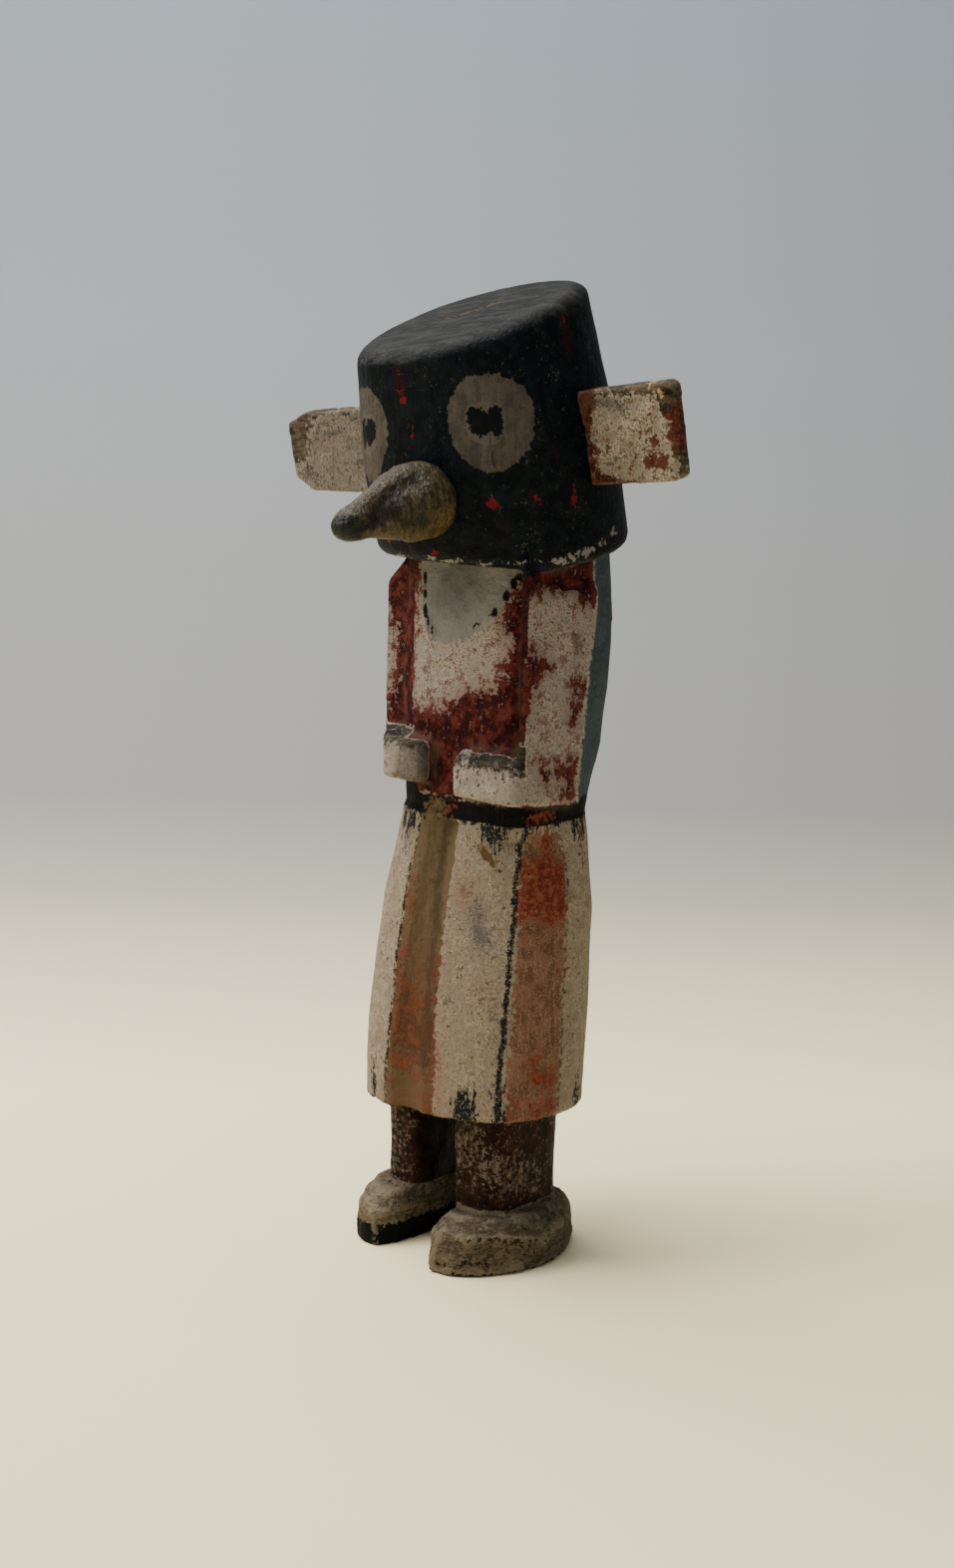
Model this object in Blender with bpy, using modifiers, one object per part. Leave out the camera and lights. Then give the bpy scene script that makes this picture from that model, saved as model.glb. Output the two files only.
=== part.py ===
# A carved and painted kachina doll that stands on its own two feet.
# Metres, +Z up, the doll faces -Y, and its left hand is at +X.
# The figure is one carving: head, body, arms, kilt, legs and feet.
# The beak and the two ears are carved by themselves and glued to the head.
import math

import bmesh
import bpy
from mathutils import Matrix, Vector

# Heights of the figure, stacked from the soles up
FOOT_HEIGHT = 0.0135
LEG_LENGTH = 0.0245
KILT_LENGTH = 0.0755
TORSO_LENGTH = 0.0665
HEAD_HEIGHT = 0.0548

# Head: a drum with a sloping crown
HEAD_WIDTH = 0.0606
HEAD_DEPTH = 0.0606
HEAD_SQUARENESS = 2.25
HEAD_TAPER = 0.935
HEAD_EDGE = 0.0042
HEAD_RIM = 0.0018
RIM_HEIGHT = 0.0024
RIM_DROP = 0.0002
RIM_SAG = 0.0029
RIM_SHARE = 0.99
RIM_SLOPE = math.radians(5.2)
CROWN_SLOPE = math.radians(9.8)
CROWN_SIDE_SLOPE = math.radians(4.3)
HEAD_DRIFT = 0.0015
HEAD_LEAN = math.radians(9.5)
HEAD_TILT = math.radians(4.0)
HEAD_TURN = math.radians(6.0)
HEAD_CENTRE = (-0.0005, 0.0062)
HEAD_SINK = 0.0035

# Ears: square tabs on the sides of the head, their faces a little before its middle
EAR_THICKNESS = 0.0060
EAR_LEAD = 0.0044
LEFT_EAR_REACH = 0.0246
LEFT_EAR_HEIGHT = 0.0227
LEFT_EAR_LEVEL = 0.0243
LEFT_EAR_RISE = math.radians(2.0)
RIGHT_EAR_REACH = 0.0308
RIGHT_EAR_HEIGHT = 0.0217
RIGHT_EAR_LEVEL = 0.0232
RIGHT_EAR_RISE = math.radians(1.2)

# Each ear from root to tip: share of length, height, cuts off the front and back faces
LEFT_EAR_PROFILE = (
    (0.00, 0.98, 0.00, 0.00),
    (0.93, 1.03, 0.00, 0.00),
    (1.00, 0.95, 0.22, 0.15),
)
RIGHT_EAR_PROFILE = (
    (0.00, 1.02, 0.00, 0.00),
    (0.78, 0.93, 0.00, 0.00),
    (1.00, 0.66, 0.48, 0.12),
)

# Beak: a blunt horn, glued low on the face
BEAK_LENGTH = 0.0345
BEAK_WIDTH = 0.0186
BEAK_HEIGHT = 0.0186
BEAK_LEVEL = 0.0155

# Body: a rounded trunk, flat arms laid along its sides
TRUNK_WIDTH = 0.0474
TRUNK_DEPTH = 0.0440
TRUNK_SQUARENESS = 2.7
CHEST_SQUARENESS = 6.5
TRUNK_CENTRE = (0.0005, 0.0083)
ARM_THICKNESS = 0.0070
LEFT_ARM_EDGE = 0.0028
RIGHT_ARM_EDGE = 0.0070
ARM_DEPTH = 0.0280
LEFT_ARM_FORWARD = 0.0018
RIGHT_ARM_FORWARD = -0.0052
SHOULDER_WIDTH = 0.0520
LEFT_SHOULDER_RISE = 0.0015
LEFT_SHOULDER_DROP = 0.0120
RIGHT_SHOULDER_RISE = -0.0030
RIGHT_SHOULDER_DROP = 0.0075
HAND_HEIGHT = 0.0130
HAND_RISE = 0.0062
HAND_PROUD = 0.0045
HAND_GAP = 0.0102
HAND_FRONT_SHARE = 0.74
LEFT_HAND_TOP_SLOPE = math.radians(27.5)
RIGHT_HAND_TOP_SLOPE = math.radians(9.0)
ELBOW_DROP = 0.0025
LEFT_ELBOW_CUT = 0.0025
RIGHT_ELBOW_CUT = 0.0105
RIGHT_ARM_LIFT = 0.0020

# Kilt: it flares from the belt to the hem
BELT_WIDTH = 0.0466
BELT_DEPTH = 0.0376
HEM_WIDTH = 0.0578
HEM_DEPTH = 0.0432
KILT_SQUARENESS = 2.5
HEM_SLOPE = 0.05
FLUTE_WIDTH = 0.0110
FLUTE_DEPTH = 0.0020
FLUTE_OFFSET = 0.0042

# The kilt from hem to belt: share of height, share of the way from belt size to hem size,
# and its centre in x and y
KILT_PROFILE = (
    (0.00, 0.97, -0.0018, 0.0022),
    (0.08, 1.00, -0.0018, 0.0022),
    (0.25, 1.03, -0.0018, 0.0028),
    (0.45, 0.95, -0.0014, 0.0038),
    (0.70, 0.68, -0.0008, 0.0050),
    (0.88, 0.28, -0.0004, 0.0056),
    (1.00, 0.00, 0.0000, 0.0058),
)

# Legs and feet
LEG_WIDTH = 0.0176
LEG_DEPTH = 0.0280
LEG_SQUARENESS = 3.6
RIGHT_LEG_SHARE = 0.71
LEG_GAP = 0.0112
LEG_GAP_CENTRE = -0.0049
LEG_BACK = 0.0024
FOOT_LENGTH = 0.0490
SOLE_BAND = 0.0096

# Each foot: its width, the part of it inside the spine, the part of its length before the leg,
# how full the toe is, and how far the spine lies outside the middle of the leg
LEFT_FOOT = {"width": 0.0248, "inner": 0.0092, "toe": 0.0240, "fullness": 1.75, "out": 0.0010}
RIGHT_FOOT = {"width": 0.0192, "inner": 0.0062, "toe": 0.0212, "fullness": 1.90, "out": 0.0000}

# Glued pieces keep this gap to the head
GLUE_GAP = 0.0003

# The edges of arms, hands and soles are worn round by this much
WORN_EDGE = 0.0010

SEGMENTS = 48

HEM_Z = FOOT_HEIGHT + LEG_LENGTH
BELT_Z = HEM_Z + KILT_LENGTH
NECK_Z = BELT_Z + TORSO_LENGTH


def clear_scene():
    for old in list(bpy.data.objects):
        bpy.data.objects.remove(old, do_unlink=True)
    for old in list(bpy.data.collections):
        bpy.data.collections.remove(old)


def new_collection(name):
    collection = bpy.data.collections.new(name)
    bpy.context.scene.collection.children.link(collection)
    return collection


def painted_wood(name, colour, roughness):
    material = bpy.data.materials.new(name)
    material.use_nodes = True
    shader = material.node_tree.nodes["Principled BSDF"]
    shader.inputs["Base Color"].default_value = (*colour, 1.0)
    shader.inputs["Roughness"].default_value = roughness
    shader.inputs["Metallic"].default_value = 0.0
    material.diffuse_color = (*colour, 1.0)
    return material


def power(value, exponent):
    return math.copysign(abs(value) ** exponent, value)


def oval(half_width, half_depth, squareness, left_front=None):
    """Points of a superellipse, counter-clockwise from +X; one corner may be squarer."""
    points = []
    for step in range(SEGMENTS):
        angle = 2.0 * math.pi * step / SEGMENTS
        corner = left_front if left_front and 4 * step >= 3 * SEGMENTS else squareness
        x = half_width * power(math.cos(angle), 2.0 / corner)
        y = half_depth * power(math.sin(angle), 2.0 / corner)
        points.append((x, y))
    return points


def section(centre, outline, slope=(0.0, 0.0)):
    """An outline laid at a height, on a plane that may slope along X and Y."""
    return [
        Vector((centre[0] + x, centre[1] + y, centre[2] + slope[0] * x + slope[1] * y))
        for x, y in outline
    ]


def mesh_object(name, collection, bm):
    bmesh.ops.recalc_face_normals(bm, faces=bm.faces)
    mesh = bpy.data.meshes.new(name)
    bm.to_mesh(mesh)
    bm.free()
    mesh.shade_smooth()
    mesh.set_sharp_from_angle(angle=math.radians(35.0))
    item = bpy.data.objects.new(name, mesh)
    collection.objects.link(item)
    return item


def loft(name, collection, sections):
    """Skins a stack of sections that all have the same number of points."""
    bm = bmesh.new()
    rings = [[bm.verts.new(point) for point in points] for points in sections]
    for lower, upper in zip(rings, rings[1:]):
        for index in range(len(lower)):
            following = (index + 1) % len(lower)
            bm.faces.new((lower[index], lower[following], upper[following], upper[index]))
    bm.faces.new(list(reversed(rings[0])))
    bm.faces.new(rings[-1])
    return mesh_object(name, collection, bm)


def block(name, collection, corner):
    """A six-sided block: corner(x, y, z) places each corner from its three signs."""
    bm = bmesh.new()
    bmesh.ops.create_cube(bm, size=2.0)
    for vertex in bm.verts:
        signs = [1 if value > 0.0 else -1 for value in vertex.co]
        vertex.co = corner(*signs)
    return mesh_object(name, collection, bm)


def add_bevel(item, width, segments=2):
    bevel = item.modifiers.new("worn edges", "BEVEL")
    bevel.width = width
    bevel.segments = segments
    bevel.limit_method = "ANGLE"
    bevel.angle_limit = math.radians(30.0)


def combine(item, other, operation):
    boolean = item.modifiers.new(f"{operation.lower()} {other.name}", "BOOLEAN")
    boolean.operation = operation
    boolean.solver = "EXACT"
    boolean.object = other


def hide(item):
    item.hide_render = True
    item.display_type = "WIRE"


def head_form(name, collection, grow=0.0):
    """The drum of the head in the head's own frame, optionally grown all round."""
    half_width = HEAD_WIDTH / 2.0 + grow
    half_depth = HEAD_DEPTH / 2.0 + grow
    crown_slope = (math.tan(CROWN_SIDE_SLOPE), math.tan(CROWN_SLOPE))
    rim_slope = (-math.tan(RIM_SLOPE), 0.0)
    waist = HEAD_HEIGHT * 0.45
    sections = []

    def add(height, share, inset, slope, sag=0.0):
        drift = HEAD_DRIFT * (0.35 - height / HEAD_HEIGHT)
        outline = oval(half_width * share - inset, half_depth * share - inset, HEAD_SQUARENESS)
        ring = section((drift, 0.0, height), outline, slope)
        for point in ring:
            point.z -= sag * (point.x / half_width) ** 2
        sections.append(ring)

    low = -RIM_DROP - grow
    add(low, RIM_SHARE, HEAD_RIM, rim_slope, RIM_SAG)
    add(low + 0.45 * RIM_HEIGHT, RIM_SHARE, 0.3 * HEAD_RIM, rim_slope, RIM_SAG)
    add(low + RIM_HEIGHT, RIM_SHARE, 0.0, rim_slope, RIM_SAG)
    add(waist, 1.0, 0.0, (0.0, 0.0))
    high = HEAD_HEIGHT - 2.2 * HEAD_EDGE + grow
    part = (high - waist) / (HEAD_HEIGHT - waist)
    add(high, HEAD_TAPER, 0.0, (crown_slope[0] * part, crown_slope[1] * part))
    for turn in (25.0, 50.0, 72.0, 90.0):
        inset = HEAD_EDGE * (1.0 - math.cos(math.radians(turn)))
        drop = HEAD_EDGE * (1.0 - math.sin(math.radians(turn)))
        add(HEAD_HEIGHT + grow - drop, HEAD_TAPER, inset, crown_slope)
    return loft(name, collection, sections)


def beak_form(name, collection):
    """A blunt horn along -Y: top and bottom lines and width, as shares of the base."""
    profile = (
        # share of length, top, bottom, width
        (0.00, 0.98, 0.98, 0.99),
        (0.12, 1.03, 1.00, 1.00),
        (0.28, 1.04, 0.94, 0.96),
        (0.45, 0.96, 0.74, 0.84),
        (0.62, 0.76, 0.54, 0.66),
        (0.78, 0.55, 0.44, 0.50),
        (0.90, 0.42, 0.39, 0.41),
        (0.97, 0.30, 0.29, 0.30),
        (1.00, 0.13, 0.13, 0.13),
    )
    sunk = HEAD_DEPTH * 0.06
    face = HEAD_DEPTH / 2.0
    sections = []
    for share, top, bottom, width in profile:
        y = -(face - sunk) - share * (BEAK_LENGTH + sunk)
        points = []
        for step in range(SEGMENTS // 2):
            angle = 4.0 * math.pi * step / SEGMENTS
            reach = top if math.sin(angle) > 0.0 else bottom
            x = BEAK_WIDTH / 2.0 * width * math.cos(angle)
            z = BEAK_LEVEL + BEAK_HEIGHT / 2.0 * reach * math.sin(angle)
            points.append(Vector((x, y, z)))
        sections.append(points)
    return loft(name, collection, sections)


def ear_form(name, collection, side, reach, height, level, rise, profile):
    """A square tab that reaches out from the side of the head."""
    surface = HEAD_WIDTH / 2.0
    root = surface * 0.84
    tip = surface + reach
    front = -EAR_LEAD
    back = front + EAR_THICKNESS
    sections = []
    for share, size, front_cut, back_cut in profile:
        x = root + share * (tip - root)
        middle = level + math.tan(rise) * (x - surface)
        half = height / 2.0 * size
        near = front + front_cut * EAR_THICKNESS
        far = back - back_cut * EAR_THICKNESS
        corners = ((near, -half), (far, -half), (far, half), (near, half))
        sections.append([Vector((side * x, y, middle + z)) for y, z in corners])
    item = loft(name, collection, sections)
    add_bevel(item, EAR_THICKNESS * 0.1)
    return item


def trunk_form(name, collection):
    """The trunk from the belt to the head, with the rounded back."""
    profile = (
        # share of height, width, depth, shift back
        (-0.06, 0.93, 0.80, -0.0028),
        (0.05, 0.96, 0.83, -0.0026),
        (0.14, 0.965, 0.878, -0.0019),
        (0.27, 0.99, 0.96, -0.0006),
        (0.50, 1.02, 1.01, 0.0004),
        (0.75, 1.02, 1.02, 0.0006),
        (0.95, 1.00, 1.00, 0.0000),
        (1.10, 0.97, 0.97, -0.0004),
    )
    sections = []
    for share, width, depth, back in profile:
        outline = oval(
            TRUNK_WIDTH / 2.0 * width,
            TRUNK_DEPTH / 2.0 * depth,
            TRUNK_SQUARENESS,
            CHEST_SQUARENESS,
        )
        centre = (TRUNK_CENTRE[0], TRUNK_CENTRE[1] + back, BELT_Z + share * TORSO_LENGTH)
        sections.append(section(centre, outline))
    return loft(name, collection, sections)


def trunk_front():
    return TRUNK_CENTRE[1] - TRUNK_DEPTH / 2.0


def arm_form(name, collection, side, forward, edge, rise, drop, lift):
    """A flat arm with a chamfered shoulder; its front edge may be thinner than its back."""
    front = trunk_front() - forward
    outer = SHOULDER_WIDTH / 2.0
    bottom = BELT_Z + HAND_RISE + lift
    top = NECK_Z + rise

    def corner(x, y, z):
        upper = (z + 1) / 2.0
        depth = ARM_DEPTH * (0.82 + 0.18 * upper)
        back = front + depth
        inner = outer - (edge if y < 0 else ARM_THICKNESS)
        reach = outer if x > 0 else inner
        height = top if z > 0 else bottom
        if x > 0 and z > 0:
            height -= drop
        if y > 0 and z < 0:
            height -= ELBOW_DROP
        return Vector((TRUNK_CENTRE[0] + side * reach, front if y < 0 else back, height))

    item = block(name, collection, corner)
    add_bevel(item, WORN_EDGE)
    return item


def hand_form(name, collection, side, corner_cut, top_slope, lift):
    """The forearm and hand, laid across the belly, with a sloping upper face."""
    front = trunk_front() - HAND_PROUD
    outer = SHOULDER_WIDTH / 2.0
    inner = HAND_GAP / 2.0
    back = TRUNK_CENTRE[1] - TRUNK_DEPTH * 0.2
    bottom = BELT_Z + HAND_RISE + lift
    plan = (
        (inner, back),
        (inner, front),
        (outer - corner_cut * 0.85, front),
        (outer, front + corner_cut),
        (outer, back),
    )
    rise = math.tan(top_slope)
    lower = []
    upper = []
    for reach, y in plan:
        x = TRUNK_CENTRE[0] + side * reach
        lower.append(Vector((x, y, bottom)))
        height = bottom + HAND_HEIGHT * HAND_FRONT_SHARE + (y - front) * rise
        upper.append(Vector((x, y, height)))
    item = loft(name, collection, (lower, upper))
    add_bevel(item, WORN_EDGE)
    return item


def kilt_size(share):
    """Half width, half depth and centre of the kilt at a share of its height from the hem."""
    for lower, upper in zip(KILT_PROFILE, KILT_PROFILE[1:]):
        if share <= upper[0]:
            break
    part = (share - lower[0]) / (upper[0] - lower[0])
    flare, x, y = (low + part * (high - low) for low, high in zip(lower[1:], upper[1:]))
    width = BELT_WIDTH + flare * (HEM_WIDTH - BELT_WIDTH)
    depth = BELT_DEPTH + flare * (HEM_DEPTH - BELT_DEPTH)
    return width / 2.0, depth / 2.0, x, y


def kilt_form(name, collection):
    """The kilt, from the hem up to the belt, swelling above the hem."""
    sections = []
    for share, *_ in KILT_PROFILE:
        half_width, half_depth, x, y = kilt_size(share)
        outline = oval(half_width, half_depth, KILT_SQUARENESS)
        slope = (HEM_SLOPE * (1.0 - share) if share < 0.1 else 0.0, 0.0)
        sections.append(section((x, y, HEM_Z + share * KILT_LENGTH), outline, slope))
    return loft(name, collection, sections)


def flute_form(name, collection):
    """The scoop down the front of the kilt: a bent round bar that is cut away."""
    radius = (FLUTE_WIDTH ** 2 / 4.0 + FLUTE_DEPTH ** 2) / (2.0 * FLUTE_DEPTH)
    sections = []
    for share in (-0.05, 0.10, 0.30, 0.50, 0.70, 0.90, 0.99):
        half_width, half_depth, kilt_x, kilt_y = kilt_size(max(0.0, share))
        x = kilt_x - FLUTE_OFFSET * (1.0 - max(0.0, share) ** 1.8)
        front = kilt_y - half_depth
        centre = (x, front + FLUTE_DEPTH - radius, HEM_Z + share * KILT_LENGTH)
        sections.append(section(centre, oval(radius, radius, 2.0)))
    return loft(name, collection, sections)


def leg_form(name, collection, centre_x, share_of_size):
    """A short leg, a little fuller under the kilt than at the ankle."""
    sections = []
    for share, width, depth in ((-0.15, 0.98, 0.94), (0.40, 0.98, 0.96), (1.20, 1.02, 1.01)):
        outline = oval(
            LEG_WIDTH / 2.0 * width * share_of_size,
            LEG_DEPTH / 2.0 * depth * (0.4 + 0.6 * share_of_size),
            LEG_SQUARENESS,
        )
        sections.append(section((centre_x, LEG_BACK, FOOT_HEIGHT + share * LEG_LENGTH), outline))
    return loft(name, collection, sections)


def foot_outline(side, inner, outer, front, back, fullness, share):
    """The outline of a foot about its spine: a blunt toe near the inner side."""
    points = []
    for step in range(SEGMENTS):
        angle = 2.0 * math.pi * step / SEGMENTS
        outward = side * math.cos(angle) > 0.0
        forward = math.sin(angle) < 0.0
        squareness = 2.8
        if outward:
            squareness = fullness if forward else 1.7
        width = outer if outward else inner
        length = front if forward else back
        x = share * width * power(math.cos(angle), 2.0 / squareness)
        y = share * length * power(math.sin(angle), 2.0 / squareness)
        points.append((x, y))
    return points


def foot_form(name, collection, side, leg_x, foot):
    """A thick flat sole with upright sides and a low domed upper."""
    inner = foot["inner"]
    outer = foot["width"] - inner
    front = foot["toe"]
    back = FOOT_LENGTH - front
    spine = leg_x + side * foot["out"]
    sections = []
    for height, share in (
        (0.0, 0.965),
        (WORN_EDGE, 1.0),
        (SOLE_BAND * 0.94, 0.965),
        (SOLE_BAND * 1.02, 0.935),
        (SOLE_BAND + (FOOT_HEIGHT - SOLE_BAND) * 0.6, 0.84),
        (FOOT_HEIGHT, 0.72),
    ):
        outline = foot_outline(side, inner, outer, front, back, foot["fullness"], share)
        sections.append(section((spine, 0.0, height), outline))
    return loft(name, collection, sections)


def build():
    clear_scene()
    pieces = new_collection("kachina_doll")
    cutters = new_collection("forms and cutters")
    root = bpy.data.objects.new("root", None)
    pieces.objects.link(root)

    head_frame = bpy.data.objects.new("head_frame", None)
    pieces.objects.link(head_frame)
    head_frame.parent = root
    rise = math.sin(HEAD_LEAN) * HEAD_DEPTH / 2.0
    head_frame.location = (HEAD_CENTRE[0], HEAD_CENTRE[1], NECK_Z + rise - HEAD_SINK)
    turn = Matrix.Rotation(HEAD_TURN, 3, "Z")
    tilt = Matrix.Rotation(-HEAD_TILT, 3, "Y")
    lean = Matrix.Rotation(HEAD_LEAN, 3, "X")
    head_frame.rotation_euler = (turn @ tilt @ lean).to_euler()

    figure = trunk_form("figure", pieces)
    figure.parent = root
    left_leg = LEG_GAP_CENTRE + LEG_GAP / 2.0 + LEG_WIDTH / 2.0
    right_leg = LEG_GAP_CENTRE - LEG_GAP / 2.0 - LEG_WIDTH / 2.0 * RIGHT_LEG_SHARE
    forms = [
        kilt_form("kilt_form", cutters),
        arm_form(
            "arm_left_form", cutters, 1, LEFT_ARM_FORWARD, LEFT_ARM_EDGE,
            LEFT_SHOULDER_RISE, LEFT_SHOULDER_DROP, 0.0,
        ),
        arm_form(
            "arm_right_form", cutters, -1, RIGHT_ARM_FORWARD, RIGHT_ARM_EDGE,
            RIGHT_SHOULDER_RISE, RIGHT_SHOULDER_DROP, RIGHT_ARM_LIFT,
        ),
        hand_form("hand_left_form", cutters, 1, LEFT_ELBOW_CUT, LEFT_HAND_TOP_SLOPE, 0.0),
        hand_form(
            "hand_right_form", cutters, -1, RIGHT_ELBOW_CUT, RIGHT_HAND_TOP_SLOPE, RIGHT_ARM_LIFT
        ),
        leg_form("leg_left_form", cutters, left_leg, 1.0),
        leg_form("leg_right_form", cutters, right_leg, RIGHT_LEG_SHARE),
        foot_form("foot_left_form", cutters, 1, left_leg, LEFT_FOOT),
        foot_form("foot_right_form", cutters, -1, right_leg, RIGHT_FOOT),
    ]
    for form in forms:
        form.parent = root
        combine(figure, form, "UNION")
        hide(form)
    head = head_form("head_form", cutters)
    head.parent = head_frame
    combine(figure, head, "UNION")
    hide(head)
    flute = flute_form("flute_cutter", cutters)
    flute.parent = root
    combine(figure, flute, "DIFFERENCE")
    hide(flute)

    seat = head_form("glue_gap_cutter", cutters, GLUE_GAP)
    seat.parent = head_frame
    hide(seat)
    beak = beak_form("beak", pieces)
    ear_left = ear_form(
        "ear_left", pieces, 1, LEFT_EAR_REACH, LEFT_EAR_HEIGHT, LEFT_EAR_LEVEL, LEFT_EAR_RISE,
        LEFT_EAR_PROFILE,
    )
    ear_right = ear_form(
        "ear_right", pieces, -1, RIGHT_EAR_REACH, RIGHT_EAR_HEIGHT, RIGHT_EAR_LEVEL,
        RIGHT_EAR_RISE, RIGHT_EAR_PROFILE,
    )
    for glued in (beak, ear_left, ear_right):
        glued.parent = head_frame
        combine(glued, seat, "DIFFERENCE")

    finishes = (
        (figure, "painted root wood", (0.45, 0.40, 0.34), 0.85),
        (beak, "olive painted wood", (0.20, 0.16, 0.08), 0.75),
        (ear_left, "white painted wood, red edge", (0.52, 0.47, 0.38), 0.85),
        (ear_right, "white painted wood", (0.46, 0.43, 0.37), 0.85),
    )
    for item, name, colour, roughness in finishes:
        item.data.materials.append(painted_wood(name, colour, roughness))

    centre_on_ground(root, [item for item, *_ in finishes])


def centre_on_ground(root, items):
    """Moves the whole doll so that its box stands on Z = 0 about the Z axis."""
    bpy.context.view_layer.update()
    graph = bpy.context.evaluated_depsgraph_get()
    corners = []
    for item in items:
        shape = item.evaluated_get(graph)
        mesh = shape.to_mesh()
        corners += [shape.matrix_world @ vertex.co for vertex in mesh.vertices]
        shape.to_mesh_clear()
    for axis in (0, 1):
        values = [corner[axis] for corner in corners]
        root.location[axis] -= (min(values) + max(values)) / 2.0
    root.location[2] -= min(corner[2] for corner in corners)
    bpy.context.view_layer.update()


build()
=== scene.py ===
import math
import statistics

import bpy
import numpy as np
from mathutils import Matrix, Vector


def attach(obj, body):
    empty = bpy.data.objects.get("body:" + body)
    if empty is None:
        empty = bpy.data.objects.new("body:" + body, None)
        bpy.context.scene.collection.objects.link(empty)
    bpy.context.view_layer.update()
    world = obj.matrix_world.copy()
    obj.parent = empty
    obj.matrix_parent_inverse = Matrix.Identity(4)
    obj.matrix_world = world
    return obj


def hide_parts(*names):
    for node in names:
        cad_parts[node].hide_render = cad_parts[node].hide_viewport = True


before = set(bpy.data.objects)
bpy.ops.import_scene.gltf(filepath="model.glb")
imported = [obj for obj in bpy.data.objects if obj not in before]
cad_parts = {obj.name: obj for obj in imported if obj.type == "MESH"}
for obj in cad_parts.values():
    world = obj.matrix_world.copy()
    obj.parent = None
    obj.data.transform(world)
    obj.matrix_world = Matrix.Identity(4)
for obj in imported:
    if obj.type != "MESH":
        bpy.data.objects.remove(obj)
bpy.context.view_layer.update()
print("frame loaded")

mm = 0.001
nowhere = -20.0  # a distance that no paint reaches


# noise and distances, in millimetres

def lattice(cells, seed):
    # one fixed number from 0 to 1 for each cell of a grid
    x, y, z = (cells[:, i].astype(np.int64) for i in range(3))
    h = (x * 374761393 + y * 668265263 + z * 1442695041 + seed * 974634777) & 0xFFFFFFFF
    h = ((h ^ (h >> 13)) * 1274126177) & 0xFFFFFFFF
    return ((h ^ (h >> 16)) & 0xFFFF) / 65535.0


def lumps(points, size, seed):
    # soft noise from -1 to 1; size is the width of one lump, one number or three
    total = np.zeros(len(points))
    whole = 0.0
    for octave in range(2):
        weight = 0.5 ** octave
        q = points / (np.asarray(size, float) * weight) + 17.3 * octave
        base = np.floor(q)
        part = q - base
        part = part * part * (3.0 - 2.0 * part)
        value = np.zeros(len(points))
        for corner in range(8):
            step = np.array([corner & 1, (corner >> 1) & 1, corner >> 2])
            near = np.where(step == 1, part, 1.0 - part).prod(axis=1)
            value += near * lattice(base + step, seed + octave)
        total += weight * (2.0 * value - 1.0)
        whole += weight
    return total / whole


def knifeCuts(points, size, seed):
    # flat cuts of a knife, each tilted its own way, from about -1 to 1
    q = points / np.asarray(size, float)
    base = np.floor(q)
    nearest = np.full(len(points), 1e9)
    value = np.zeros(len(points))
    for number in range(27):
        cell = base + np.array([number % 3, (number // 3) % 3, number // 9]) - 1.0
        middle = cell + np.stack([lattice(cell, seed + k) for k in range(3)], axis=1)
        tilt = np.stack([lattice(cell, seed + 10 + k) for k in range(3)], axis=1) - 0.5
        away = q - middle
        gap = (away ** 2).sum(axis=1)
        closer = gap < nearest
        nearest = np.where(closer, gap, nearest)
        value = np.where(closer, (away * tilt).sum(axis=1) * 2.0, value)
    return value


def fromPath(points, path):
    # distance to a line through the places in a path
    best = np.full(len(points), 1e9)
    line = np.asarray(path, float)
    for a, b in zip(line, line[1:]):
        edge = b - a
        along = np.clip((points - a) @ edge / max(edge @ edge, 1e-9), 0, 1)
        best = np.minimum(best, np.linalg.norm(points - a - along[:, None] * edge, axis=1))
    return best


def fromLine(u, v, line):
    return fromPath(np.stack([u, v], axis=1), line)


def insideShape(u, v, corners):
    # distance to a closed outline, above zero inside it
    ring = np.asarray(corners, float)
    best = fromLine(u, v, np.vstack([ring, ring[:1]]))
    inside = np.zeros(len(u), bool)
    for a, b in zip(ring, np.roll(ring, -1, axis=0)):
        rise = b[1] - a[1]
        if rise:
            inside ^= ((a[1] > v) != (b[1] > v)) & (u < a[0] + (v - a[1]) * (b[0] - a[0]) / rise)
    return np.where(inside, best, -best)


def insideAny(u, v, shapes):
    best = np.full(len(u), nowhere)
    for corners in shapes:
        best = np.maximum(best, insideShape(u, v, corners))
    return best


def dabs(u, v, marks):
    # distance to dabs of a brush, each (u, v, half width, half height), above zero inside
    best = np.full(len(u), nowhere)
    for a, b, wide, tall in marks:
        away = np.hypot((u - a) / wide, (v - b) / tall)
        best = np.maximum(best, (1.0 - away) * min(wide, tall))
    return best


def smudges(u, v, marks):
    # soft patches, each (u, v, half width, half height, strength), from 0 to about 1
    total = np.zeros(len(u))
    for a, b, wide, tall, strength in marks:
        total += strength * np.exp(-((u - a) / wide) ** 2 - ((v - b) / tall) ** 2)
    return total


def turned(axis, degrees):
    return np.array(Matrix.Rotation(math.radians(degrees), 3, axis))


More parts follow.
